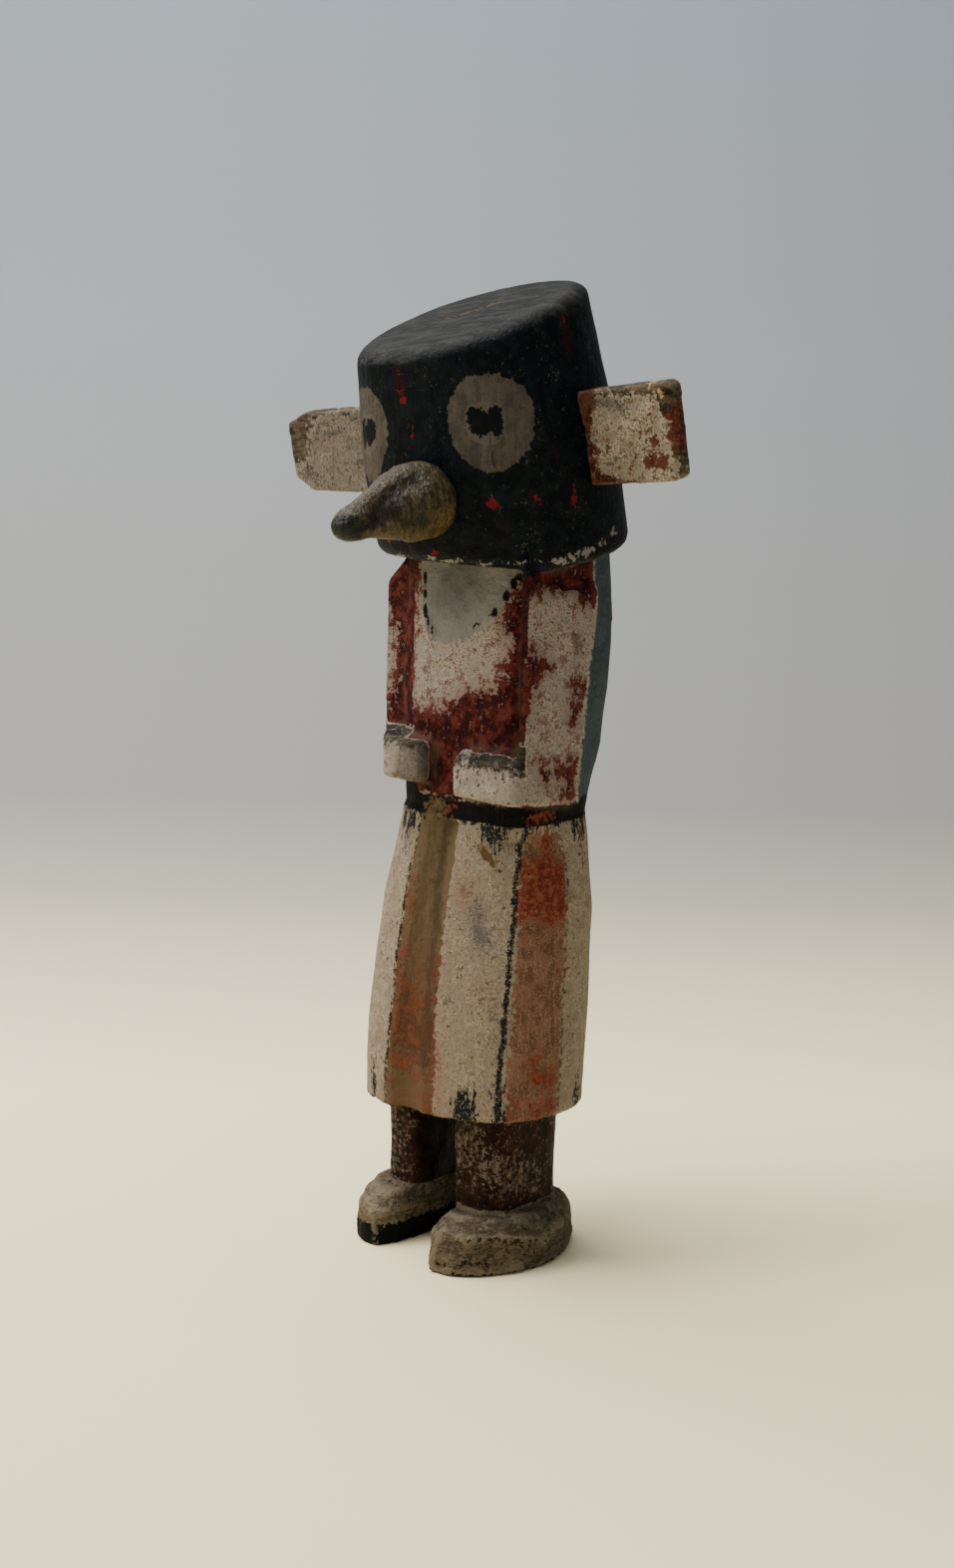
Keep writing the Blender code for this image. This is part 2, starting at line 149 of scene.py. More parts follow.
class Surface:
    # the points of a fine mesh in millimetres, with what is carved and painted there
    def __init__(self, node, grain, rounds):
        self.item = bpy.data.objects.new("carved_" + node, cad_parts[node].data.copy())
        bpy.context.scene.collection.objects.link(self.item)
        solid = self.item.data
        solid.materials.clear()
        remesh = self.item.modifiers.new("fine wood", "REMESH")
        remesh.mode = "VOXEL"
        remesh.voxel_size = grain * mm
        worn = self.item.modifiers.new("worn edges", "SMOOTH")
        worn.factor = 0.5
        worn.iterations = rounds
        graph = bpy.context.evaluated_depsgraph_get()
        self.mesh = bpy.data.meshes.new_from_object(self.item.evaluated_get(graph))
        self.item.modifiers.clear()
        self.item.data = self.mesh
        bpy.data.meshes.remove(solid)
        self.mesh.name = "carved_" + node
        self.mesh.shade_smooth()
        self.node = node
        self.read()

    def read(self):
        flat = np.zeros(len(self.mesh.vertices) * 3)
        self.mesh.vertices.foreach_get("co", flat)
        self.points = flat.reshape(-1, 3) / mm
        self.mesh.vertices.foreach_get("normal", flat)
        self.normals = flat.reshape(-1, 3).copy()

    def carve(self, height):
        # moves the surface along its normals
        self.points = self.points + self.normals * height[:, None]
        self.points[:, 2] = np.maximum(self.points[:, 2], 0.0)
        self.mesh.vertices.foreach_set("co", (self.points * mm).ravel())
        self.mesh.update()
        self.read()

    def standsOut(self, rounds=10):
        # how far a point stands out from those around it, above zero on edges
        ends = np.zeros(len(self.mesh.edges) * 2, np.int32)
        self.mesh.edges.foreach_get("vertices", ends)
        a, b = ends.reshape(-1, 2).T
        count = np.bincount(ends, minlength=len(self.points))[:, None]
        soft = self.points
        for _ in range(rounds):
            total = np.zeros_like(soft)
            for axis in range(3):
                total[:, axis] = np.bincount(a, soft[b, axis], len(soft))
                total[:, axis] += np.bincount(b, soft[a, axis], len(soft))
            soft = total / count
        return ((self.points - soft) * self.normals).sum(axis=1)

    def field(self, name, values):
        layer = self.mesh.attributes.new(name, "FLOAT", "POINT")
        layer.data.foreach_set("value", np.asarray(values, np.float32))

    def show(self):
        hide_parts(self.node)
        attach(self.item, "root")


# places on the doll

headFrame = {"centre": np.array([4.1, 18.5, 181.5]), "radius": 30.3}
headTurn = turned("Z", 6.0) @ turned("Y", -4.0) @ turned("X", 9.5)  # aside, sideways, back
headDegree = 0.53  # millimetres to a degree round the head
kiltDegree = 0.49
kiltMiddle = {"x": 3.0, "y": 16.0}
rimSlack = -0.35  # how far below the rim still counts as head
tops = {"kilt": 113.4, "leg": 38.4, "foot": 14.2}  # each reaches up to here


def headPlace(points):
    # the head's own x, y, z: x to the doll's left, -y ahead, z up its side
    return (points - headFrame["centre"]) @ headTurn


def headAngle(own):
    return np.degrees(np.arctan2(own[:, 0], -own[:, 1]))


def aboveRim(own):
    share = own[:, 0] / headFrame["radius"]
    return own[:, 2] + 0.2 + 0.091 * own[:, 0] + 2.9 * share * share


def kiltAngle(points):
    return np.degrees(np.arctan2(points[:, 0] - kiltMiddle["x"], kiltMiddle["y"] - points[:, 1]))


def scaled(outline, degree):
    # an outline in degrees and millimetres, as millimetres both ways
    return [(angle * degree, height, *rest) for angle, height, *rest in outline]


# the carved body: head, trunk, arms, kilt, legs and feet are one piece of wood

carving = {
    "grain": 0.8,  # width of one square of the fine mesh
    "softened": 3,  # rounds of wear on the edges
    "broad": 0.26,  # unevenness by hand
    "headCuts": 0.05,
    "trunkCuts": 0.24,
    "kiltCuts": 0.1,
    "legCuts": 0.3,
    "footCuts": 0.5,
    "footFacets": 0.35,
    "headGrain": 0.05,
    "bodyGrain": 0.1,
    "arris": {"rise": 0.45, "width": 0.9, "dip": 0.25, "dipAt": 3.2, "dipWidth": 1.6},
    "proud": {"from": 0.3, "worn": 0.7},  # what stands out above this is mostly worn off
    "soleFade": 1.5,  # carving fades out to the sole over this height
}

figure = Surface("figure", carving["grain"], carving["softened"])
p = figure.points
own = headPlace(p)
onHead = aboveRim(own) > rimSlack
onFoot = p[:, 2] < tops["foot"]
cuts = np.where(onHead, carving["headCuts"], carving["trunkCuts"])
for part, top in tops.items():
    cuts = np.where(p[:, 2] < top, carving[part + "Cuts"], cuts)
height = lumps(p, 13.0, 11) * carving["broad"] + knifeCuts(p, (6.5, 6.5, 11.0), 23) * cuts
grain = np.where(onHead, carving["headGrain"], carving["bodyGrain"])
height += lumps(p, (2.6, 2.6, 4.0), 37) * grain
height += np.where(onFoot, knifeCuts(p, (10.0, 9.0, 6.0), 61) * carving["footFacets"], 0.0)
# where two cuts of the knife meet
arrises = [
    [(13.8, -9.1, 10.7), (17.9, -8.8, 10.4), (21.4, -7, 9.4), (25.2, -2.4, 9.8), (28.2, 2.6, 9),
     (30.2, 11.2, 6.8), (28.3, 20.3, 9)],
    [(13.8, -9.1, 10.7), (13.5, -10.8, 8.4), (12.3, -11, 4.5), (12, -11.4, 0)],
    [(-17.6, -3, 9.4), (-13.1, -5.9, 10.8), (-10.4, -8, 7.9), (-9.9, -8.1, 5.1), (-9.6, -8, 0)],
    [(-10.4, -8, 7.9), (-6.4, -4, 9), (-5.4, 6, 8.6)],
]
arris = carving["arris"]
for path in arrises:
    gap = fromPath(p, path)
    crest = arris["rise"] * np.exp(-(gap / arris["width"]) ** 2)
    hollow = arris["dip"] * np.exp(-((gap - arris["dipAt"]) / arris["dipWidth"]) ** 2)
    height += np.where(onFoot, crest - hollow, 0.0)
proud = carving["proud"]
height -= np.where(onFoot, 0.0, np.maximum(height - proud["from"], 0.0) * proud["worn"])
height *= np.clip(p[:, 2] / carving["soleFade"], 0.0, 1.0)  # the soles stay flat
figure.carve(height)
print("figure carved:", len(figure.points), "points,", len(figure.mesh.polygons), "faces")

# paint on the head, in degrees round it from the front and millimetres up its side

eyeRing = [
    (36, 43.2), (28, 42.8), (21, 40.6), (17, 37.4), (16, 33), (17, 28.6), (21, 25), (26, 22.4),
    (32, 20.8), (38, 20.5), (44, 21.9), (50, 24.6), (54, 28), (56, 31.7), (56, 35.5), (53, 38.9),
    (47, 41.6), (42, 42.7),
]
eyeLine = [
    (24, 32.7), (24.5, 35.5), (27, 37), (34, 36.9), (41, 36), (42.4, 31.6), (38, 27.3), (32, 26.9),
    (26, 29),
]
pupil = [
    (25.5, 35), (28, 36), (31, 35.6), (33, 36.1), (33.6, 34.6), (35.2, 34), (36, 35.8), (39, 35.9),
    (41, 34.6), (41.2, 32), (40, 29.6), (38, 28.2), (36, 29.2), (36.2, 30.8), (34, 29.7),
    (30, 29.1), (26.4, 31), (25, 33.2),
]
redFlecks = [
    (-9, 41.6, 0.5, 1.1), (-7, 38.8, 0.9, 1), (-3, 31.5, 0.3, 0.7), (32, 13.2, 1.1, 1.2),
    (51, 13.2, 0.45, 0.8), (53, 12, 0.4, 0.6), (70, 10.8, 0.9, 1.1), (71, 12.8, 0.3, 0.8),
    (1, 2.5, 0.9, 0.7), (-29, 5.1, 0.8, 1.1), (84, 52, 0.4, 1),
]
redSmears = [
    (-8, 42, 2, 5, 1), (83, 49, 2.2, 6, 1), (51, 12.6, 2, 2.6, 0.5), (36, 7, 2, 5, 0.5),
    (64, 23, 1.2, 5, 0.6), (70, 10.6, 2.2, 2.6, 0.4), (-3, 32, 1.4, 3, 0.4),
    (100, 30, 1.5, 6, 0.4), (-70, 30, 1.6, 5, 0.5), (-120, 20, 1.6, 4, 0.5),
    (160, 30, 1.6, 5, 0.5),
]
wornTopEdge = [
    (-180, 51.5), (-110, 48), (-43, 46.8), (-20, 48.6), (3, 50.4), (26, 51.6), (51, 52.6),
    (70, 53.5), (91, 53.9), (106, 54.3), (150, 53.5), (180, 51.5),
]
scuffs = [
    (-41, 48, 3.4, 1.6, 1), (-30, 49.6, 3, 1.2, 0.7), (-48, 45, 1.6, 3, 0.6),
    (58, 30, 1.6, 5, 0.7), (49, 23, 3.4, 2, 0.8), (70, 40, 3, 3, 0.9), (66, 45, 2, 4, 0.5),
    (103, 44, 2, 9, 0.9), (48, 5, 3, 2.4, 0.7), (42, 2, 2.2, 1.6, 0.6), (73, 8, 2, 4, 0.5),
    (8, 44, 5, 1.6, 0.4), (-46, 38, 1.4, 6, 0.5), (104, 20, 1.4, 12, 0.6), (150, 46, 8, 3, 0.5),
    (-100, 44, 6, 3, 0.5), (-130, 8, 8, 3, 0.4), (170, 6, 8, 2.5, 0.5),
]
rimChips = [
    (60, -2.6, 1.4, 0.7), (66, -2.5, 2.2, 0.8), (74, -1.9, 2.4, 0.9), (97, 0.3, 1.2, 0.8),
    (-2, 0.9, 1, 0.6), (8, 0.2, 1.6, 0.3), (24, -0.9, 1.4, 0.3), (-24, 1.2, 1.6, 0.35),
    (40, -1.4, 1.2, 0.3), (86, -1, 1, 0.5),
]

p = figure.points
own = headPlace(p)
angle = headAngle(own)
around, level = angle * headDegree, own[:, 2]
ahead = own[:, 1] < 4.0


def bothEyes(outline):
    # the eye on the near side, and its twin across the beak
    twin = [(-a - 2.0, h - 1.5) for a, h in outline]
    near = insideShape(around, level, scaled(outline, headDegree))
    far = insideShape(around, level, scaled(twin, headDegree))
    return np.where(ahead, np.maximum(near, far), nowhere)


for name, outline in (("eyeRing", eyeRing), ("eyeLine", eyeLine), ("pupil", pupil)):
    figure.field(name, bothEyes(outline))
split = scaled([(35, 29.5), (34.5, 26.0), (35, 22.0)], headDegree)
figure.field("eyeCrack", np.where(ahead, 0.22 - fromLine(around, level, split), nowhere))
for name, drawn, marks in (("redFleck", dabs, redFlecks), ("redSmear", smudges, redSmears),
                           ("scuffs", smudges, scuffs), ("rimChips", dabs, rimChips)):
    figure.field(name, drawn(around, level, scaled(marks, headDegree)))
figure.field("wornTop", own[:, 2] - np.interp(angle, *zip(*wornTopEdge)))
gash = 0.8 - fromLine(own[:, 0], own[:, 1], [(-8.0, 0.8), (-5.0, 2.6), (-2.6, 4.4), (2.4, 8.6)])
figure.field("gash", np.where(level > 46.0, gash, nowhere))

# paint on the trunk and arms: x across, y back and z up, in the doll's own frame

chestWhite = [
    (-5.6, 190), (-6.1, 173.7), (-7.1, 166), (-8.2, 159.1), (-10.3, 153.3), (-9.1, 147.2),
    (-8.3, 141.8), (-7.2, 139.4), (-3.3, 138.4), (1.6, 139), (5.2, 141.2), (7.8, 143.9),
    (13.1, 145.8), (18.3, 147), (22.4, 150), (22.1, 153.2), (23.6, 156.7), (22.4, 159.3),
    (20.2, 162.4), (21.7, 165.2), (23.8, 168.6), (25.6, 172), (27.4, 176), (28.5, 190),
]
collar = [
    (-5.2, 190), (-5.4, 174), (-5.3, 167.9), (-4.3, 161.8), (-2.2, 158.4), (2, 156), (8, 156.5),
    (13, 159.5), (18, 163), (21.5, 167), (24, 171), (26.5, 176), (27.5, 190),
]
farArmRed = [
    (-21, 168), (-19, 176), (-15, 190), (-5, 190), (-5, 130), (-21.5, 132.5), (-20.4, 137.4),
    (-17.4, 144.8), (-16.6, 146.4), (-16.8, 152.6), (-17.6, 157), (-19.9, 161),
]
nearArmRed = [
    [(-5, 168), (-2, 170), (0.2, 170.7), (3.9, 171.7), (8.5, 172.1), (13.6, 171.2), (15.9, 168.3),
     (17.5, 166.4), (20.6, 166.3), (22.6, 169), (24.5, 180), (-5, 190)],
    [(-3.6, 158.4), (-1.7, 158.2), (-0.5, 155.8), (4.8, 154.7), (5.4, 152.3), (1.8, 151.3),
     (-0.2, 148.8), (-2, 146.3), (-1.5, 142.3), (-3.6, 141)],
    [(14.2, 148.2), (18.7, 147.6), (16.6, 145.9), (14.9, 145.5)],
    [(13.8, 142.6), (17.8, 142.9), (16.8, 140), (15.3, 137.7), (13.1, 139.5)],
    [(1.7, 129.9), (5, 127.8), (10.5, 127.2), (17.5, 128.7), (15.8, 125.6), (14.6, 120.7),
     (12.4, 121), (11.6, 125.4), (7, 126.4), (4.1, 124.8)],
]
beads = [
    (-3.9, 171.6, 0.8, 1.5), (-3.9, 168, 0.8, 1.4), (-3.7, 163.8, 0.85, 1.7),
    (-2.7, 161, 0.45, 1.3), (-1.2, 159.2, 0.4, 1.2), (25.6, 174.1, 1.5, 0.9),
    (24, 172.4, 0.8, 1.3), (22, 169.4, 1.1, 1.4), (19, 165.3, 0.8, 1.1), (17.6, 164.6, 0.5, 0.6),
    (13.6, 161.9, 0.5, 0.6), (12.4, 161.4, 0.3, 0.5),
]
x, y, z = p.T
backEdge = 20.0 + np.interp(z, [118, 130, 150, 170, 178], [-1.8, -1.4, 1.2, 4.2, 5.0])
frontEdge = backEdge - 1.0
hands = {"front": -2.3, "low": 117.5, "high": 135.5, "near": 9.4, "far": 1.2}
onHand = (y < hands["front"]) & (z > hands["low"]) & (z < hands["high"])
onHand &= (x > hands["near"]) | (x < hands["far"])
onHand |= (z < 134.0) & (z > 121.2) & (x < -8.0) & (y < 9.0)  # the far hand's own side
nearTop = z - 128.4 + 0.07 * (x - 10.0) - 0.3 * (y + 5.9)
handTop = np.where(x > hands["near"], nearTop, z - 130.0 - 0.14 * (y + 5.9))
outer = x > 30.2  # the near arm's side, turned to the camera

red = -insideShape(x, z, chestWhite)
red = np.where((x < -8.5) & (y > 0.3), insideShape(x, z, farArmRed), red)
red = np.where(x < -20.4, -1.6, red)
red = np.where(outer, insideAny(y, z, nearArmRed), red)
red = np.where(onHand, nowhere, np.where(y < frontEdge, red, -3.0))
red = np.where(z < 119.5, np.minimum(red, z - 118.6), red)
figure.field("redCoat", red)
figure.field("collar", np.where((y < 5.0) & ~outer, insideShape(x, z, collar), nowhere))
figure.field("blueBack", np.where(onHand, nowhere, y - backEdge))
figure.field("beads", np.where(y < 5.0, dabs(x, z, beads), nowhere))
figure.field("handTop", np.where(onHand & (z < 134.6), handTop, nowhere))
# painted shadow: a dark line down the crease beside the near arm
figure.field("armGrooveShadow", np.where((z > 131) & (z < 178) & (y < 0.5), 1.5 - np.abs(x - 28.2), nowhere))
chestGrease = smudges(x, z, [(-1.0, 147.0, 3.0, 6.0, 0.5), (12.0, 158.0, 7.0, 2.6, 0.5)])
armGrease = smudges(y, z, [(16.0, 156.5, 2.6, 5.0, 1.0)])
figure.field("grease", armGrease * outer + chestGrease * (y < 2.0))
figure.field("beltBand", np.where(onHand, nowhere, np.where(x < -6.0, 120.6, 118.4) - z))
figure.field("shadeHand", np.where(onHand & (x < 2.0), x + 7.5, nowhere))
figure.field("inFront", np.clip(frontEdge - y, 0.0, 1.0) * ~onHand)

# paint on the kilt, in degrees round it from the front and millimetres above the ground

frontStripe = [
    (-23, 119), (-25, 108), (-27, 100.6), (-27, 91.8), (-28, 83.5), (-28, 74), (-27, 66.8),
    (-27, 53.9), (-28, 41.3), (-29, 34), (12, 34), (12, 50.8), (11, 61.7), (11, 69.8), (12, 83.4),
    (14, 94.2), (17, 104.9), (18, 119),
]
sideStripe = [
    (64, 112), (61, 104), (60, 98.8), (59, 90.9), (58, 80.3), (57, 69.6), (55, 58.8), (54, 47.8),
    (54, 34), (83, 34), (85, 51.6), (85, 62.6), (86, 73.7), (87, 84.4), (90, 95), (91, 103.5),
    (86, 111),
]
sideLine = [
    (62.5, 113), (60.8, 104), (58.2, 98.7), (57.6, 90.9), (55.2, 80.2), (53.8, 69.5), (52.7, 61.4),
    (51, 53.3), (50, 45), (50, 38),
]
frontLine = [
    (-24, 110), (-27.3, 100.6), (-27.4, 91.8), (-28.4, 83.5), (-28.4, 74), (-27.6, 66.8),
    (-27.8, 53.9), (-28.8, 41.3), (-29, 37),
]
rightLine = [
    (88, 109), (91.5, 103), (90.6, 95), (88, 84.4), (86.6, 73.7), (86, 62.6), (85.6, 51.6),
    (84, 42),
]
strongRed = [
    (63, 104.6), (66, 103), (69, 105.6), (73, 105), (75, 112), (80, 111.5), (82, 104), (91, 103.5),
    (89, 90.9), (84, 90), (79, 88), (71, 89.3), (66, 91.5), (60, 90.6), (60.5, 98.8),
]
redPatches = [
    [(66, 55.4), (71, 56.6), (72, 52), (83, 52), (81, 48.6), (73, 47), (67, 50)],
    [(55, 45), (59, 45.6), (60, 41.1), (57, 39), (54, 40.6)],
    [(66, 44), (72, 43), (78, 45.4), (82, 42), (74, 40.6), (67, 41)],
]
belowStripe = [
    [(-29, 83), (-24, 81), (-21, 74), (-17, 70), (-12, 66), (-4, 69), (2, 71), (6, 76), (13, 75),
     (13, 47), (5, 45), (-4, 49), (-12, 48.2), (-20, 49), (-29, 46)],
    [(-26, 96), (-23, 95), (-24, 90), (-27, 91)],
    [(3, 43), (9, 44), (13, 38), (4, 38)],
]
# the line of painted shade down the kilt's flute
fluteShadow = [(5, 113.6), (1, 103.6), (0, 95.3), (3, 85.5), (1, 77.1), (2, 68.8), (4, 60.8), (2, 52)]
beltDrips = [
    (-39, 109.3, 0.7, 3), (-47, 110.5, 1.6, 3.4), (-33, 111.2, 2.4, 2), (42, 111.6, 1.7, 2.6),
    (45, 110, 1.3, 3.2), (49, 111, 0.8, 2.2), (61, 111, 0.7, 2.4), (105, 109, 1, 4.6),
    (102, 112, 1.6, 2.6), (110, 111, 1.3, 3.2), (150, 111, 1.2, 3), (-110, 110.8, 1.2, 3.2),
    (-160, 111.2, 1.3, 2.6),
]
hemDashes = [
    (-41.5, 41.6, 0.9, 4.4), (30, 42.6, 1.9, 4.6), (36, 43.4, 1.6, 3.6), (34, 40.2, 2.2, 2.4),
    (51, 42, 1, 4), (100, 41, 1, 4.4), (104, 40, 0.8, 4), (152, 42, 1.2, 4), (-150, 42, 1.3, 4.2),
    (-96, 42, 1.1, 4),
]
greyPatches = [
    (36, 91, 4, 5, 0.8), (40, 84.5, 3.5, 4.5, 0.9), (21, 68.6, 3, 3.5, 0.5), (50, 60, 3, 6, 0.6),
    (47, 109, 5, 4, 0.9), (-36, 108, 4, 6, 0.8), (44, 46, 4, 6, 0.4), (93, 58, 2, 8, 0.4),
    (-42, 90, 2, 6, 0.3), (64, 109, 4, 3, 0.6), (130, 80, 6, 12, 0.4), (-140, 66, 6, 12, 0.4),
    (178, 96, 6, 9, 0.4),
]
pinkPatches = [
    (27, 95, 5, 6, 1), (39, 73, 5, 6, 0.5), (16, 50, 3, 14, 0.9), (18, 78, 3, 8, 0.6),
    (70, 66, 9, 18, 0.6), (56, 108, 4, 3, 0.4), (160, 60, 9, 14, 0.5), (-120, 92, 8, 10, 0.5),
]
kiltChip = [(35, 107.4), (38, 108.2), (48, 103.9), (47, 102.8), (44, 103.6)]

x, y, z = p.T
turnRound = kiltAngle(p)
around = turnRound * kiltDegree


def farTwin(outline):
    return [(-7.0 - a, *rest) for a, *rest in outline]


def kiltShape(outline):
    return insideShape(around, z, scaled(outline, kiltDegree))


def kiltLine(line):
    return fromLine(around, z, scaled(line, kiltDegree))


def bothSides(outline):
    # a stripe on the near side, and the same on the far side
    return np.maximum(kiltShape(outline), kiltShape(farTwin(outline)))


def bothLines(line, half):
    return half - np.minimum(kiltLine(line), kiltLine(farTwin(line)))


figure.field("frontStripe", kiltShape(frontStripe))
figure.field("frontRed", insideAny(around, z, [scaled(shape, kiltDegree) for shape in belowStripe]))
figure.field("sideStripe", bothSides(sideStripe))
figure.field("strongRed", np.max([bothSides(s) for s in (strongRed, *redPatches)], axis=0))
figure.field("kiltLines", np.maximum(bothLines(sideLine, 0.66), 0.52 - kiltLine(frontLine)))
figure.field("rightLine", bothLines(rightLine, 0.22))
dashes = dabs(around, z, scaled(beltDrips + hemDashes, kiltDegree))
figure.field("kiltMarks", np.maximum(z - 112.9, dashes))
for name, patches in (("smudge", greyPatches), ("flush", pinkPatches)):
    figure.field(name, smudges(around, z, scaled(patches, kiltDegree)))
figure.field("kiltChip", kiltShape(kiltChip) + 0.3)
figure.field("kiltHeight", z)
figure.field("fluteShadow", 1.0 - kiltLine(fluteShadow))
figure.field("rubbed", np.interp(turnRound, [-50, -32, -24, 14, 24, 52, 88, 100, 180],
                                 [0, 0, 1, 1, 1.2, 1.2, 1, 0.4, 0.6]))
figure.field("beltRed", dabs(around, z, [(4.6, 115.6, 3.0, 1.6), (35.5, 115.2, 4.0, 1.2)]))
figure.field("beltTan", dabs(around, z, [(-3.0, 115.2, 7.0, 2.6)]))

# legs and feet

legWear = [
    (9, 36), (16.5, 36), (18.5, 30), (25, 28), (32, 23), (30, 17.5), (22, 19), (17.5, 22.5),
    (9, 25),
]
acrossLeg = np.where(y > 3.0, x + 0.6 * (y - 3.0), x)
wear = np.where(x > 3.0, insideShape(acrossLeg, z, legWear), nowhere)
far = np.where(x < 1.0, 2.6 - np.abs(x + 13.6), nowhere)
figure.field("legWear", np.maximum(np.maximum(wear, far), nowhere))
# painted shadow: near black on the inner faces of the legs, where they face each other
gapShadow = np.where(x > 1.0, 6.0 - x, x + 6.4)
figure.field("legGapShadow", np.where((y > 4.0) & (y < 30.0), gapShadow, nowhere))
soleTop = np.where(x < 0.5, 5.4 + 0.02 * y, 0.4)
figure.field("soleBand", np.where(z < 9.0, soleTop - z, nowhere))
cracks = [
    [(21.4, -7.6, 9.2), (25.2, -2.4, 9.4), (28.2, 2.6, 8.6), (30.2, 11.2, 6.8), (28.3, 20.3, 8.6)],
    [(13.6, -11.4, 2.8), (19.3, -10.1, 2.8), (22.4, -7.5, 4), (25.1, -4.3, 3.2)],
    [(30.6, 18, 4.4), (28, 26, 4), (22, 34, 4.8)],
    [(-15, -5, 11.4), (-11, -3.6, 12)],
]
figure.field("footCrack", 0.42 - np.min([fromPath(p, path) for path in cracks], axis=0))
figure.field("toeLine", 0.6 - fromPath(p, [(-9.9, -8.2, 5.6), (-9.6, -8.1, 0.6)]))
figure.field("standsOut", figure.standsOut())
# painted light: the far foot paler, most toward its front
figure.field("farFootLight", np.where(x < 0.5, 1.0, 0.0) * np.clip((2.0 - y) / 6.0, 0.3, 1.0))
print("paint laid out")


# paint, as nodes

paintDepth = 0.8  # the share of light that the laid-out colours give back


class Paint:
    # one finish: each layer lies over the one before, and wears off in its own way
    kinds = {  # noise: width in millimetres, detail, roughness, stretch, and how far it spreads
        "broad": (13.0, 2.0, 0.5, None, 0.082),
        "mid": (3.6, 3.0, 0.65, None, 0.067),
        "fine": (1.25, 3.0, 0.65, None, 0.067),
        "grit": (0.5, 2.0, 0.6, None, 0.078),
        "wood": (0.9, 3.0, 0.65, (1.0, 1.0, 0.1), 0.067),
        "layers": (1.4, 3.0, 0.65, (0.22, 0.22, 1.0), 0.067),
        "crown": (2.6, 3.0, 0.6, (0.3, 0.9, 1.0), 0.067),
    }

    def __init__(self, name, gloss=0.07, roughness=0.7):
        self.material = bpy.data.materials.new(name)
        self.material.use_nodes = True
        self.tree = self.material.node_tree
        self.shader = self.tree.nodes["Principled BSDF"]
        self.wire(self.shader, {"Specular IOR Level": gloss, "Roughness": roughness})
        self.place = self.add("ShaderNodeTexCoord").outputs["Object"]
        self.made = {}
        self.height = None
        self.colour = None

    def add(self, kind):
        return self.tree.nodes.new(kind)

    def link(self, source, target):
        if isinstance(source, bpy.types.NodeSocket):
            self.tree.links.new(source, target)
        elif isinstance(source, tuple) and target.type == "RGBA":
            target.default_value = (*(part * paintDepth for part in source), 1.0)
        else:
            target.default_value = source

    def wire(self, node, inputs):
        for name, value in inputs.items():
            self.link(value, node.inputs[name])
        return node.outputs

    def maths(self, kind, a, b=0.0, c=0.0):
        node = self.add("ShaderNodeMath")
        node.operation = kind
        for value, socket in zip((a, b, c), node.inputs):
            self.link(value, socket)
        return node.outputs[0]

    def noise(self, kind):
        # noise about zero, most of it from -2 to 2; each kind is made once and shared
        if kind not in self.made:
            width, detail, rough, stretch, spread = self.kinds[kind]
            node = self.add("ShaderNodeTexNoise")
            place = self.place
            if stretch:
                pull = self.add("ShaderNodeVectorMath")
                pull.operation = "MULTIPLY"
                self.link(place, pull.inputs[0])
                pull.inputs[1].default_value = stretch
                place = pull.outputs[0]
            value = self.wire(node, {"Vector": place, "Scale": 1000.0 / width, "Detail": detail,
                                     "Roughness": rough})["Fac"]
            self.made[kind] = self.maths("MULTIPLY_ADD", value, 1.0 / spread, -0.5 / spread)
        return self.made[kind]

    def field(self, name):
        if name not in self.made:
            node = self.add("ShaderNodeAttribute")
            node.attribute_name = name
            self.made[name] = node.outputs["Fac"]
        return self.made[name]

    def between(self, value, low, high):
        node = self.add("ShaderNodeMapRange")
        node.interpolation_type = "SMOOTHSTEP"
        return self.wire(node, {"Value": value, "From Min": low, "From Max": high})["Result"]

    def blend(self, share, under, over):
        node = self.add("ShaderNodeMix")
        node.data_type = "RGBA"
        return self.wire(node, {"Factor": share, "A": under, "B": over})["Result"]

    def tone(self, kind, dark, light):
        # a colour that drifts between two shades
        return self.blend(self.between(self.noise(kind), -1.3, 1.3), dark, light)

    def plus(self, *parts):
        total = parts[0]
        for part in parts[1:]:
            total = self.maths("ADD", total, part)
        return total

    def times(self, a, b):
        return self.maths("MULTIPLY", a, b)

    def edge(self, distance, soft=0.2, **ragged):
        # cover from a distance; ragged gives millimetres of shake to each kind of noise
        for kind, amount in ragged.items():
            distance = self.maths("MULTIPLY_ADD", self.noise(kind), amount, distance)
        return self.between(distance, -soft, soft)

    def area(self, name, soft=0.2, shift=0.0, **ragged):
        # cover where a field is above zero, once shifted
        distance = self.field(name)
        if shift:
            distance = self.plus(distance, shift)
        return self.edge(distance, soft, **ragged)

    def shake(self, kind, amount):
        return self.times(self.noise(kind), amount)

    def edges(self, shake, low, high):
        # cover on what stands out, such as rubbed corners
        value = self.plus(self.field("standsOut"), self.shake("fine", shake))
        return self.between(value, low, high)

    def creaseDirtAndShade(self, low, high, colour, strength):
        # colour laid where the surface lies deeper than what is round it: dirt, and where the
        # colour is dark also painted shade in the creases
        depth = self.times(self.field("standsOut"), -1.0)
        self.lay(self.between(depth, low, high), colour, 0.0, strength)

    def spots(self, share, kind="grit", soft=0.25, bias=None):
        # specks over a share of the surface, more of them where bias is above zero
        level = statistics.NormalDist().inv_cdf(1.0 - share)
        value = self.noise(kind) if bias is None else self.plus(self.noise(kind), bias)
        return self.between(value, level - soft, level + soft)

    def lay(self, cover, colour, thick=0.0, strength=1.0):
        if strength < 1.0:
            cover = self.times(cover, strength)
        self.colour = colour if self.colour is None else self.blend(cover, self.colour, colour)
        if thick:
            self.lift(cover, thick)

    def coat(self, name, soft, colour, thick=0.0, strength=1.0, shift=0.0, **ragged):
        self.lay(self.area(name, soft, shift, **ragged), colour, thick, strength)

    def lift(self, amount, thick):
